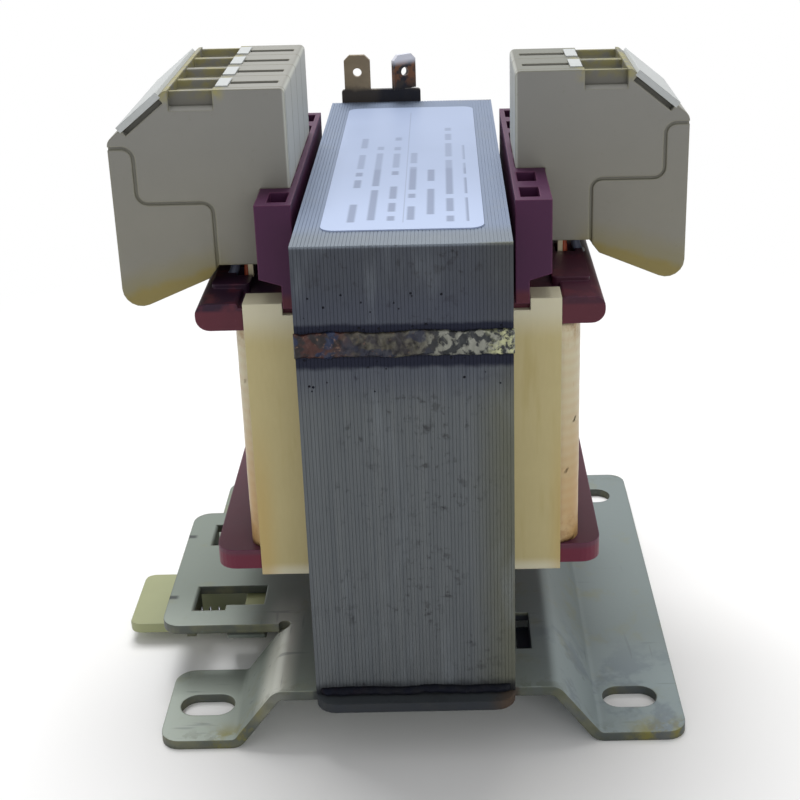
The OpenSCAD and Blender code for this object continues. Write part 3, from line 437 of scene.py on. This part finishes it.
def housing(name, first_pole):
    f = Finish(name)
    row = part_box(first_pole)[0].y
    out = abs(f.x)
    cloud = f.noise(9.0, 3.0, 0.6)
    normal, rim = soft_edges(f, 0.45)
    base = f.mix(tone("7c7a71"), tone("86847a"), cloud)
    base = f.mix(base, tone("80838a"), f.z.ramp(TIP_Z + 8 * MM, ROW_TOP) * 0.25)
    # Level tops: painted shade on the right row, painted light on the left row
    up = f.upward()
    level = up.ramp(0.8, 0.95)
    base = f.mix(base, tone("6a6c62"), level * f.x.ramp(0.0, INNER_X) * 0.75)
    base = f.mix(base, tone("92928a"), level * f.x.ramp(0.0, -INNER_X) * 0.5)
    # Thin lower tip: yellow along its slanted edge, paler above
    over_edge = f.z - TIP_Z - (OUTER_X - out) * 0.30 + (f.noise(5.0, 3.0, 0.6) - 0.5) * (3.0 * MM)
    tip = over_edge.ramp(6.5 * MM, 1.5 * MM) * out.ramp(INNER_X + 8 * MM, INNER_X + 13 * MM)
    base = f.mix(base, tone("82794a"), tip * 0.55)
    base = f.mix(base, tone("857428"), tip * over_edge.ramp(2.4 * MM, 0.8 * MM) * 0.6)
    # Painted light on the outer slope, more where it faces up, and on the inner wall, and walls round
    # the screws that have gone yellow
    slope = out.ramp(SCREW_X + 3.5 * MM, SCREW_X + 5.5 * MM)
    slope = slope * f.z.ramp(ROW_TOP - 11 * MM, ROW_TOP - 8 * MM)
    base = f.mix(base, tone("9b9b94"), slope * abs(up) * 0.8)
    base = f.mix(base, tone("c0c2ba"), out.ramp(INNER_X + 0.5 * MM, INNER_X + 0.1 * MM) * 0.85)
    wall = between(out, SCREW_X - 4.5 * MM, SCREW_X + 4.5 * MM, 0.8 * MM)
    wall = wall * f.z.ramp(ROW_TOP - 2.2 * MM, ROW_TOP - 0.6 * MM)
    base = f.mix(base, tone("98904f"), wall * f.noise(2.5, 3.0, 0.6).ramp(0.35, 0.6) * 0.7)
    # Dark seams, counted in poles from the row's front
    from_seam = abs(((f.y - row) / POLE + 0.5).fraction() - 0.5)
    seam = from_seam.ramp(0.028, 0.014)
    base = f.mix(base, tone("4a483f"), seam * 0.6)
    grime = f.noise(1.2, 4.0, 0.7).ramp(0.62, 0.74)
    base = f.mix(base, tone("6b6553"), grime * 0.22)
    # Painted highlight on the rounded edges
    base = f.mix(base, tone("a3a084"), rim * 0.5)
    f.set(Base_Color=base, Roughness=0.5 + cloud * 0.1, Specular_IOR_Level=0.35)
    f.bump(f.noise(0.35, 2.0, 0.5) - seam * 1.5, 0.12, 0.05, normal)
    return f.material


LEFT_HOUSING = housing("terminal_plastic_left", "left_pole_1")
RIGHT_HOUSING = housing("terminal_plastic_right", "right_pole_1")
print("housings %.1f mm wide with poles %.1f mm apart" % ((OUTER_X - INNER_X) / MM, POLE / MM))

# %% [markdown]
# The coil is wrapped in polyester tape over varnished turns, and a folded pressboard panel keeps
# it off each leg. The varnish has run down the panels in honey-coloured streaks.

# %% Insulation and tape
PANEL_EDGE = (20 * MM, 23 * MM)
COIL_CORNER = (20 * MM, 27 * MM)
WIRE_PITCH = 0.9 * MM


def pressboard():
    f = Finish("insulation")
    cloud = f.noise(10.0, 4.0, 0.6)
    fibre = f.noise(0.5, 4.0, 0.6, f.stretched(1.0, 1.0, 0.2))
    normal, rim = soft_edges(f, 0.25)
    base = f.mix(tone("b6a878"), tone("c8bb8a"), cloud * 0.6 + fibre * 0.4)
    run = f.noise(3.0, 3.0, 0.6, f.stretched(1.0, 1.0, 0.12)).ramp(0.5, 0.72)
    base = f.mix(base, tone("a8944f"), run * 0.4)
    # Painted light near the top of the panel, on its rounded edges and along its foot
    base = f.mix(base, tone("d8d6c4"), f.z.ramp(JOINT_Z - 6 * MM, JOINT_Z - 0.5 * MM) * 0.6)
    base = f.mix(base, tone("dedac4"), rim * 0.5)
    foot_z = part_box("front_panel")[0].z
    base = f.mix(base, tone("dcd8c2"), f.z.ramp(foot_z + 2.2 * MM, foot_z + 0.4 * MM) * 0.7)
    # Varnish soaked in at the lower outer corners
    soaked = abs(f.x).ramp(*PANEL_EDGE) * f.z.ramp(JOINT_Z - 14 * MM, JOINT_Z - 34 * MM)
    base = f.mix(base, tone("bd9f5c"), soaked * 0.6)
    f.set(Base_Color=base, Roughness=0.5 + cloud * 0.12, Coat_Weight=0.08, Specular_IOR_Level=0.3)
    f.bump(fibre, 0.15, 0.05, normal)
    return f.material


def tape():
    f = Finish("tape")
    cloud = f.noise(7.0, 4.0, 0.6)
    # The turns of wire show through as faint bands
    turn = f.add("ShaderNodeTexWave", {"bands_direction": "Z", "wave_profile": "SIN"}, {
        "Vector": f.place, "Scale": 0.5 / (WIRE_PITCH * math.pi), "Distortion": 1.5, "Detail": 2.0}, "Fac")
    base = f.mix(tone("bdb392"), tone("cdc5aa"), cloud)
    base = f.mix(base, tone("bd9a76"), turn * 0.22)
    # Varnish, darker at the corners of the coil and along both edges of the tape
    varnish = f.noise(2.4, 4.0, 0.65, f.stretched(1.0, 1.0, 0.22)).ramp(0.56, 0.74)
    base = f.mix(base, tone("a3773a"), varnish * 0.5)
    corner = between(abs(f.y), *COIL_CORNER, 2 * MM)
    base = f.mix(base, tone("b3863f"), corner * f.z.ramp(JOINT_Z - 10 * MM, JOINT_Z - 36 * MM) * 0.75)
    fringe = f.z.ramp(JOINT_Z - 33 * MM, JOINT_Z - 40 * MM) + f.z.ramp(JOINT_Z - 9 * MM, JOINT_Z - 4 * MM)
    base = f.mix(base, tone("8f6a3c"), fringe * f.noise(1.8, 4.0, 0.7).ramp(0.42, 0.62) * 0.55)
    f.set(Base_Color=base, Roughness=0.4 + varnish * 0.15, Coat_Weight=0.08, Specular_IOR_Level=0.3)
    f.bump(turn * 0.7 + f.noise(1.5, 4.0, 0.6), 0.3, 0.08)
    return f.material


PANEL = pressboard()
TAPE = tape()
print("insulation and tape made")

# %% [markdown]
# The rating label is a pale film. Its print names a maker, so it is left off. Grey bars stand
# where lines of print would be, ruled off as on any rating plate, and say nothing.

# %% Label film
LINE_PITCH = 2.75 * MM
WORD_LENGTH = 2.1 * MM


def label_film():
    f = Finish("label_film")
    low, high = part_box("rating_label")
    cloud = f.noise(16.0, 2.0, 0.5)
    # Pale film with a painted blue reflection of the sky, brighter towards the front
    base = f.mix(tone("8f9ebb"), tone("9dabc8"), cloud)
    base = f.mix(base, tone("a9b8d6"), f.y.ramp(-5 * MM, low.y))
    # Lines run along Y, one beside another along X
    line = (f.x - low.x) / LINE_PITCH
    number = line.floor()
    along = (f.y - low.y) / (high.y - low.y)
    word = (f.y - low.y) / WORD_LENGTH + f.random(number) * 9.0
    printed = f.random(word.floor() + number * 31.0) > 0.3
    margin = (between(f.x, low.x + 2.2 * MM, high.x - 2.0 * MM, 0.05 * MM)
              * between(f.y, low.y + 3.0 * MM, high.y - 4.0 * MM, 0.05 * MM))
    full = along < (0.35 + f.random(number + 7.0) * 0.55)
    bar = between(line.fraction(), 0.28, 0.66, 0.08) * printed * margin * full
    bold = between(along, 0.0, 0.42, 0.01)
    base = f.mix(base, tone("55617d"), bar * (0.42 + bold * 0.2))
    rule = between((f.x - low.x) / (high.x - low.x), 0.50, 0.507, 0.002) * margin
    base = f.mix(base, tone("77819a"), rule * 0.5)
    f.set(Base_Color=base, Roughness=0.4 + cloud * 0.1, Specular_IOR_Level=0.4)
    f.bump(f.noise(5.0, 2.0, 0.5), 0.1, 0.05)
    return f.material


LABEL = label_film()
print("label film made")

# %% [markdown]
# The small pieces need only two kinds of finish. Moulded plastic is a soft cloud of two tones with a
# painted highlight on its edges. Plated metal is the same with a few tarnish spots and a sharper shine.

# %% Small plastics and metals
def moulded(name, low, high, rough, edge="ffffff", edge_highlight_share=0.2):
    f = Finish(name)
    cloud = f.noise(6.0, 3.0, 0.55)
    normal, rim = soft_edges(f, 0.2)
    # Two tones, with a painted highlight in the edge colour on the rounded edges
    base = f.mix(f.mix(tone(low), tone(high), cloud), tone(edge), rim * edge_highlight_share)
    f.set(Base_Color=base, Roughness=rough + cloud * 0.1)
    f.bump(f.noise(0.3, 2.0, 0.5), 0.12, 0.03, normal)
    return f.material


def metal(name, low, high):
    f = Finish(name)
    cloud = f.noise(2.5, 4.0, 0.6)
    normal, rim = soft_edges(f, 0.15)
    base = f.mix(tone(low), tone(high), cloud)
    base = f.mix(base, tone("5a5248"), f.noise(1.0, 4.0, 0.7).ramp(0.56, 0.7) * 0.2)
    # Painted highlight on the rounded edges
    base = f.mix(base, tone("d8d8d0"), rim * 0.3)
    f.set(Base_Color=base, Metallic=0.9, Roughness=0.3 + cloud * 0.15)
    f.bump(f.noise(0.3, 3.0, 0.5), 0.15, 0.02, normal)
    return f.material


LATCH = moulded("latch_plastic", "8c9168", "999d74", 0.4, "c3c6a4", 0.5)
MARKER = moulded("marker_plastic", "adb1b0", "babebe", 0.4)
COPPER = metal("copper", "b5622f", "c5743c")
SPRING = metal("spring_steel", "6d7074", "8b8e92")
BRASS = metal("plated_brass", "c9bfa0", "d5ccb0")
PLATED = metal("plated_steel", "b9b7aa", "c9c7ba")
ENAMEL = moulded("lead_sleeve_red", "a8482c", "bb5a38", 0.5)
SLEEVE = moulded("lead_sleeve_grey", "454b60", "5c6378", 0.5)
print("small finishes made")

# %% [markdown]
# The earth tab is tin-plated steel: tan on one blade, and nearly black with a brown patch on the
# other blade and on the bridge between them.

# %% Earth blades
def blade_metal():
    f = Finish("tinned_steel")
    low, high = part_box("earth_tab")
    middle = (low.x + high.x) / 2
    cloud = f.noise(3.0, 4.0, 0.6)
    normal, rim = soft_edges(f, 0.15)
    # One blade is tan. The other is dark, with a brown patch and a painted highlight on its tip.
    # Both are darker at the foot
    tan = f.mix(tone("6d5f4c"), tone("97876b"), cloud)
    dark = f.mix(tone("1c1d28"), tone("3a332f"), cloud.ramp(0.4, 0.6))
    brown = f.noise(2.2, 3.0, 0.6).ramp(0.52, 0.62) * f.z.ramp(TOP_Z + 2 * MM, TOP_Z + 5 * MM)
    dark = f.mix(dark, tone("6a4630"), brown)
    dark = f.mix(dark, tone("d9dbe6"), f.z.ramp(high.z - 2.2 * MM, high.z - 0.8 * MM) * 0.9)
    base = f.mix(tan, dark, f.x.ramp(middle - 1.5 * MM, middle + 0.5 * MM))
    dark_foot = (f.z + (cloud - 0.5) * (2 * MM)).ramp(TOP_Z + 3.2 * MM, TOP_Z + 2.0 * MM)
    base = f.mix(base, tone("14151d"), dark_foot * 0.85)
    # Painted highlight on the rounded edges
    base = f.mix(base, tone("b9b6ad"), rim * 0.4)
    f.set(Base_Color=base, Metallic=0.5, Roughness=0.34 + cloud * 0.15)
    f.bump(f.noise(0.4, 3.0, 0.5), 0.15, 0.02, normal)
    return f.material


TINNED = blade_metal()
print("earth blades made")

# %% [markdown]
# Weld metal cools from white heat, so it keeps the colours of the heat: brown and blue where it
# stayed hot, grey where it was ground or splashed, and pale glassy slag at the end of the run.

# %% Weld metal
def weld_metal(name, pale_from, dark):
    """Weld along X, pale from a share of the half stack on, and darkened by soot from 0 to 1."""
    f = Finish(name)
    along = f.x / STACK_X + (f.noise(4.0, 2.0, 0.5) - 0.5) * 0.7
    blobs = f.noise(1.7, 3.0, 0.6)
    fine = f.noise(0.7, 4.0, 0.7)
    hot = f.mix(tone("160f13"), tone("3d1d18"), blobs.ramp(0.42, 0.58))
    hot = f.mix(hot, tone("14223f"), f.noise(2.2, 2.0, 0.5).ramp(0.57, 0.63) * 0.9)
    hot = f.mix(hot, tone("7d6250"), fine.ramp(0.58, 0.70) * 0.7)
    grey = f.mix(tone("211e22"), tone("4c493f"), blobs.ramp(0.40, 0.60))
    grey = f.mix(grey, tone("1b2034"), f.noise(2.6, 2.0, 0.5).ramp(0.56, 0.63) * 0.8)
    grey = f.mix(grey, tone("7a5d4b"), fine.ramp(0.60, 0.72) * 0.6)
    pale = f.mix(tone("24272a"), tone("83847b"), blobs.ramp(0.47, 0.56))
    glass = f.mix(pale, tone("b9bb92"), fine.ramp(0.44, 0.58) * 0.9)
    base = f.mix(hot, grey, along.ramp(-0.65, -0.35))
    base = f.mix(base, pale, along.ramp(pale_from, pale_from + 0.3))
    base = f.mix(base, glass, along.ramp(pale_from + 0.55, pale_from + 0.75))
    base = f.mix(base, tone("0e111b"), dark)
    f.set(Base_Color=base, Metallic=0.3 * (1 - dark), Roughness=0.32 + 0.3 * dark + fine * 0.3,
          Specular_IOR_Level=0.5 - 0.4 * dark)
    f.bump(fine + blobs * 0.6, 0.5, 0.12)
    return f.material


WELD = weld_metal("weld_metal", 0.15, 0.0)
SOOTY_WELD = weld_metal("sooty_weld", 0.8, 0.93)
print("weld metal made")

# %% [markdown]
# Every piece of the frame takes the finish of its material. The housings go by their row.

# %% Finishes onto the frame
FINISHES = {
    "base_bracket": ZINC, "rail_latch": LATCH, "latch_springs": SPRING, "foot_welds": SOOTY_WELD,
    "core_e_stack": CORE_STEEL, "core_i_stack": CORE_STEEL, "core_welds": WELD, "bobbin": MAROON,
    "inner_winding": COPPER, "interlayer_insulation": PANEL, "outer_winding": COPPER,
    "outer_tape": TAPE, "front_panel": PANEL, "rear_panel": PANEL, "rating_label": LABEL,
    "earth_tab": TINNED, "pole_tags": MARKER, "clamp_cages": PLATED, "clamp_screws": PLATED,
    "current_bars": BRASS, "coil_leads": SLEEVE,
    "left_marker_strip": MARKER, "right_marker_strip": MARKER}
for name, piece in nodes.items():
    side = LEFT_HOUSING if name.startswith("left") else RIGHT_HOUSING
    piece.data.materials.clear()
    piece.data.materials.append(FINISHES.get(name, side))
print("finishes assigned to", len(nodes), "pieces")

# %% [markdown]
# Some pieces are too irregular or too soft for plain solids: weld beads, wound tape, springs and
# leads. Each is modelled here in the space that its solid holds, and stands for that solid.

# %% Helpers for new pieces
def centre_of(low, high):
    """Middle of a box."""
    return (low + high) / 2


def new_piece(name, bm, finish, body="chassis"):
    """Turns a bmesh into a smooth piece with its own finish, riding on a body."""
    bmesh.ops.recalc_face_normals(bm, faces=bm.faces)
    mesh = bpy.data.meshes.new(name)
    bm.to_mesh(mesh)
    bm.free()
    mesh.materials.append(finish)
    mesh.shade_smooth()
    piece = bpy.data.objects.new(name, mesh)
    bpy.context.scene.collection.objects.link(piece)
    if body:
        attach(piece, body)
    print("%-18s %6d faces" % (name, len(mesh.polygons)))
    return piece


def rough(x, y, z, size):
    """Repeatable uneven height from -1 to 1 with features of this many millimetres."""
    return noise.fractal(Vector((x, y, z)) / (size * MM), 1.0, 2.0, 4)


def close_holes(bm):
    """Caps every open rim with one face."""
    rims = [e for e in bm.edges if e.is_boundary]
    bmesh.ops.holes_fill(bm, edges=rims, sides=0)


# %% [markdown]
# A weld bead is a row of overlapping crescents, one for each dip of the rod. The bead starts as
# a flat grid on the end of the stack. Each of its points is then pushed out: a dome across the
# bead, curved ripples along it, and lumps where the metal spat.

# %% Weld beads across the joint
GRID_STEP, ROWS = 0.16 * MM, 18


def lay_bead(bm, side, middle_z, tall, proud, half_length, pitch, ripple, lump):
    """One run of weld on the front (side -1) or the back (side 1) of the stack."""
    steps = int(half_length * 2 / GRID_STEP)
    made = bmesh.ops.create_grid(bm, x_segments=steps, y_segments=ROWS, size=0.5)
    for v in made["verts"]:
        x = v.co.x * 2 * half_length
        across = v.co.y * 2
        dome = math.sqrt(max(0.0, 1.0 - across * across))
        end = min(1.0, max(0.0, (half_length - abs(x)) / (0.9 * MM)))
        crescent = 0.5 + 0.5 * math.cos(2 * math.pi * (x / pitch + 0.45 * across * across + 0.2 * side))
        spit = rough(x, side * 40 * MM, v.co.y * tall, 1.6)
        height = proud * dome * math.sqrt(end) * (0.8 - ripple + ripple * crescent + lump * spit)
        reach = 1.0 + 0.16 * rough(x, side * 9 * MM, 0.0, 3.0)
        z = middle_z + across * tall / 2 * reach + 0.25 * MM * rough(x, 0.0, side * MM, 5.0)
        v.co = Vector((x, side * (CORE_Y + max(0.0, height)), z))
    close_holes(bm)


weld_low, weld_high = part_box("core_welds")
bm = bmesh.new()
for side in (-1, 1):
    lay_bead(bm, side, centre_of(weld_low, weld_high).z, tall=3.7 * MM, proud=1.0 * MM,
             half_length=weld_high.x + 0.2 * MM, pitch=1.7 * MM, ripple=0.35, lump=0.4)
beads = new_piece("weld_beads", bm, WELD)
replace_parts(beads, "core_welds")

foot_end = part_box("foot_welds")[1].x
bm = bmesh.new()
for side in (-1, 1):
    lay_bead(bm, side, BASE_Z + 0.6 * MM, tall=1.2 * MM, proud=1.2 * MM,
             half_length=foot_end + 0.8 * MM, pitch=2.3 * MM, ripple=0.1, lump=0.12)
foot_beads = new_piece("foot_beads", bm, SOOTY_WELD)
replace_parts(foot_beads, "foot_welds")

# %% [markdown]
# Welding throws drops that freeze where they land. Each is a squashed ball, cut flat where it
# touches. They lie above and below the bead, and most of them near it.

# %% Frozen drops
DROPS, SHARE_ABOVE = 34, 0.6
NEAREST, SPREAD = 2.1 * MM, 5.5 * MM


def drop(bm, x, z, radius):
    """One uneven drop, with its middle on the front of the core."""
    made = bmesh.ops.create_icosphere(bm, subdivisions=2, radius=radius)
    bmesh.ops.scale(bm, vec=(1.0, 0.5, 1.0), verts=made["verts"])
    bmesh.ops.translate(bm, vec=(x, -CORE_Y, z), verts=made["verts"])
    for v in made["verts"]:
        v.co += v.normal * radius * 0.12 * rough(v.co.x, v.co.y, v.co.z, 0.9)


chance = random.Random(5)
bm = bmesh.new()
for _ in range(DROPS):
    above = chance.random() < SHARE_ABOVE
    away = NEAREST + SPREAD * chance.random() ** 2
    x = chance.uniform(-0.92, 0.92) * STACK_X
    drop(bm, x, JOINT_Z + (away if above else -away), chance.uniform(0.08, 0.2) * MM)
bmesh.ops.bisect_plane(bm, geom=bm.verts[:] + bm.edges[:] + bm.faces[:], plane_co=(0, -CORE_Y, 0),
                       plane_no=(0, 1, 0), clear_outer=True)
close_holes(bm)
new_piece("weld_drops", bm, SOOTY_WELD)

# %% [markdown]
# The coil is wrapped in a wide polyester tape that goes round a little more than once. The end of
# the tape shows as a low step. The wires under it and the pull of the wrapping leave it wavy.

# %% Tape round the coil
def round_the_coil(turn, half_x, half_y, corner, bulge):
    """Point and outward direction on the coil's outline, turn 0 to 1, from the middle of +X."""
    straight_x, straight_y = half_x - corner, half_y - corner
    arc = math.pi / 2 * corner
    lengths = [straight_y, arc, 2 * straight_x, arc, 2 * straight_y, arc, 2 * straight_x, arc, straight_y]
    far = (turn % 1.0) * sum(lengths)
    stretch = 0
    while far > lengths[stretch]:
        far -= lengths[stretch]
        stretch += 1
    if stretch % 2:
        corner_at = [(1, 1), (-1, 1), (-1, -1), (1, -1)][stretch // 2]
        angle = (stretch // 2) * math.pi / 2 + far / corner
        way = Vector((math.cos(angle), math.sin(angle), 0))
        return Vector((corner_at[0] * straight_x, corner_at[1] * straight_y, 0)) + way * corner, way
    face = stretch // 2
    if face in (0, 4):
        y = far if face == 0 else far - straight_y
        return Vector((half_x + bulge * (1 - (y / straight_y) ** 2), y, 0)), Vector((1, 0, 0))
    if face == 1:
        return Vector((straight_x - far, half_y, 0)), Vector((0, 1, 0))
    if face == 2:
        y = straight_y - far
        return Vector((-half_x - bulge * (1 - (y / straight_y) ** 2), y, 0)), Vector((-1, 0, 0))
    return Vector((far - straight_x, -half_y, 0)), Vector((0, -1, 0))


tape_low, tape_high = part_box("outer_tape")
TAPE_FROM, TAPE_TURNS = 0.30, 1.12
CORNER, BULGE, THICKNESS = 3.6 * MM, 0.6 * MM, 0.08 * MM
bm = bmesh.new()
made = bmesh.ops.create_grid(bm, x_segments=420, y_segments=40, size=0.5)
for v in made["verts"]:
    turn = TAPE_FROM + (v.co.x + 0.5) * TAPE_TURNS
    z = tape_low.z + (v.co.y + 0.5) * (tape_high.z - tape_low.z)
    place, way = round_the_coil(turn, tape_high.x - BULGE, tape_high.y, CORNER, BULGE)
    wave = 0.035 * rough(place.x, place.y, z * 0.5, 5.0) + 0.01 * math.sin(2 * math.pi * z / (1.1 * MM))
    crease = 0.012 * rough(place.x, place.y, z * 0.1, 2.5)
    lap = -0.30 + 0.16 * (turn - TAPE_FROM)
    v.co = place + way * (lap + wave + crease) * MM + Vector((0, 0, z))
bmesh.ops.solidify(bm, geom=bm.faces[:], thickness=THICKNESS)
wrap = new_piece("tape_wrap", bm, TAPE)
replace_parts(wrap, "outer_tape")

# %% [markdown]
# Two small compression springs push the latch back under the rail. A spring is a small circle
# spun round its axis while it moves along, so one spin with a step along the axis makes it. Its
# left end rests on the bracket and its right end on the latch.

# %% Latch springs
spring_low, spring_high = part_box("latch_springs")
WIRE, TURNS, STEPS = 0.4 * MM, 5, 24
coil_d = spring_high.z - spring_low.z
axis_z = centre_of(spring_low, spring_high).z
out = (coil_d - WIRE) / 2
step = (spring_high.x - spring_low.x - WIRE) / (TURNS * STEPS)
bm = bmesh.new()
for y in (spring_low.y + coil_d / 2, spring_high.y - coil_d / 2):
    middle = Vector((spring_low.x + WIRE / 2, y, axis_z))
    ring = bmesh.ops.create_circle(bm, segments=10, radius=WIRE / 2,
                                   matrix=Matrix.Translation(middle + Vector((0, out, 0))))
    edges = list({e for v in ring["verts"] for e in v.link_edges})
    bmesh.ops.spin(bm, geom=ring["verts"] + edges, cent=middle, axis=(1, 0, 0), dvec=(step, 0, 0),
                   angle=2 * math.pi * TURNS, steps=TURNS * STEPS)
close_holes(bm)
springs = new_piece("return_springs", bm, SPRING, body=None)
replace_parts(springs, "latch_springs")
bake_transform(springs)

# %% [markdown]
# Under each pole two leads leave the coil and go up into the housing: a sleeved one, and a bare
# enamelled one beside it. Each follows a short smooth path, so it is a tube drawn along points.

# %% Leads under the poles
BARE_R, SLEEVE_R = 0.42 * MM, 0.72 * MM
SIDES, PATH_STEPS = 12, 14


def tube(bm, points, radius):
    """A closed tube whose rings are square to a path."""
    rings = []
    for index, point in enumerate(points):
        ahead = points[min(index + 1, len(points) - 1)] - points[max(index - 1, 0)]
        place = Matrix.Translation(point) @ ahead.to_track_quat("Z", "Y").to_matrix().to_4x4()
        ring = bmesh.ops.create_circle(bm, segments=SIDES, radius=radius, matrix=place)
        rings.append(list({e for v in ring["verts"] for e in v.link_edges}))
    for low_ring, high_ring in zip(rings, rings[1:]):
        bmesh.ops.bridge_loops(bm, edges=low_ring + high_ring)
    for ring in (rings[0], rings[-1]):
        bmesh.ops.holes_fill(bm, edges=ring, sides=0)


def smooth_path(*corners):
    """Bezier curve with four control points."""
    a, b, c, d = (Vector(p) for p in corners)
    path = []
    for k in range(PATH_STEPS + 1):
        t = k / PATH_STEPS
        path.append(a * (1 - t) ** 3 + b * 3 * t * (1 - t) ** 2 + c * 3 * t * t * (1 - t) + d * t ** 3)
    return path


lead_low, lead_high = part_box("coil_leads")
sleeved, bare = bmesh.new(), bmesh.new()
for name in sorted(nodes):
    if "_pole_" not in name:
        continue
    low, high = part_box(name)
    side = 1 if low.x > 0 else -1
    y = (low.y + high.y) / 2
    inner = side * (lead_high.x - 1.25 * MM)
    outer = side * (lead_high.x + 0.3 * MM)
    foot, head = lead_low.z, lead_high.z
    bare_path = smooth_path(
        (inner, y - 0.6 * MM, foot), (inner, y - 0.6 * MM, foot + 1.5 * MM),
        (inner - side * 0.1 * MM, y, head - 1.5 * MM), (inner, y, head))
    sleeved_path = smooth_path(
        (outer + side * 1.3 * MM, y - 0.9 * MM, foot + 0.75 * MM),
        (outer + side * 0.6 * MM, y - 0.5 * MM, foot + 0.6 * MM),
        (outer, y - 0.2 * MM, foot + 1.6 * MM), (outer, y, head))
    tube(bare, bare_path, BARE_R)
    tube(sleeved, sleeved_path, SLEEVE_R)
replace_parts(new_piece("sleeved_leads", sleeved, SLEEVE), "coil_leads")
new_piece("enamelled_leads", bare, ENAMEL)

# %% [markdown]
# The set is a pale floor. Near the part it is lit and takes the shadow. Farther out, for rays that
# come from the camera, a reflection or through something, it fades into the white background.

# %% Floor
FLOOR_HALF = 4.0
FADE_FROM, FADE_TO = 0.06, 0.20
BLACK, WHITE = tone("000000"), tone("ffffff")


def floor_finish():
    f = Finish("pale_floor")
    cloud = f.noise(60.0, 2.0, 0.5)
    far = (f.x * f.x + f.y * f.y) ** 0.5
    path = f.add("ShaderNodeLightPath", {}, {}, None)
    by_camera, mirrored, through = (
        Value(f, path.outputs["Is %s Ray" % kind]) for kind in ("Camera", "Glossy", "Transmission"))
    fade = far.ramp(FADE_FROM, FADE_TO) * by_camera.most(mirrored).most(through)
    lit = f.mix(tone("f4f4f4"), tone("fbfbfb"), cloud)
    f.set(Base_Color=f.mix(lit, BLACK, fade), Roughness=0.8, Specular_IOR_Level=0.0,
          Emission_Color=f.mix(BLACK, WHITE, fade), Emission_Strength=1.0)
    return f.material


mesh = bpy.data.meshes.new("floor")
bm = bmesh.new()
bmesh.ops.create_grid(bm, x_segments=1, y_segments=1, size=FLOOR_HALF)
bm.to_mesh(mesh)
bm.free()
floor = bpy.data.objects.new("floor", mesh)
bpy.context.scene.collection.objects.link(floor)
floor.data.materials.append(floor_finish())
print("floor laid")

# %% [markdown]
# A broad lamp from above and behind gives the tops their light, and a weaker one from the front
# fills the shadows. The sky is even. It is white for rays that come from the camera, a reflection
# or through something, and weaker for the light that it throws on the part.

# %% Lamps and sky
LAMP_SIZE = 0.6
SKY_LIGHT, SKY_SEEN = 0.45, 1.0


def area_lamp(name, place, aim, power):
    """Round lamp at a place, pointed at another place. Power is in watts."""
    data = bpy.data.lights.new(name, "AREA")
    data.shape = "DISK"
    data.size = LAMP_SIZE
    data.energy = power
    lamp = bpy.data.objects.new(name, data)
    bpy.context.scene.collection.objects.link(lamp)
    way = Vector(aim) - Vector(place)
    lamp.matrix_world = Matrix.Translation(place) @ way.to_track_quat("-Z", "Y").to_matrix().to_4x4()


area_lamp("top_lamp", (-0.08, 0.35, 0.85), (0.0, 0.0, 0.04), 7.4)
area_lamp("front_lamp", (0.25, -0.85, 0.35), (0.0, 0.0, 0.05), 1.4)
world = bpy.data.worlds.new("sky")
world.use_nodes = True
bpy.context.scene.world = world
tree = world.node_tree
path = tree.nodes.new("ShaderNodeLightPath")
seen = path.outputs["Is Camera Ray"]
for kind in ("Is Glossy Ray", "Is Transmission Ray"):
    either = tree.nodes.new("ShaderNodeMath")
    either.operation = "MAXIMUM"
    tree.links.new(seen, either.inputs[0])
    tree.links.new(path.outputs[kind], either.inputs[1])
    seen = either.outputs[0]
level = tree.nodes.new("ShaderNodeMapRange")
level.inputs["To Min"].default_value = SKY_LIGHT
level.inputs["To Max"].default_value = SKY_SEEN
tree.links.new(seen, level.inputs["Value"])
background = tree.nodes["Background"]
background.inputs["Color"].default_value = (1.0, 1.0, 1.0, 1.0)
tree.links.new(level.outputs["Result"], background.inputs["Strength"])
bpy.context.scene.view_settings.view_transform = "Standard"
print("lamps and sky set")
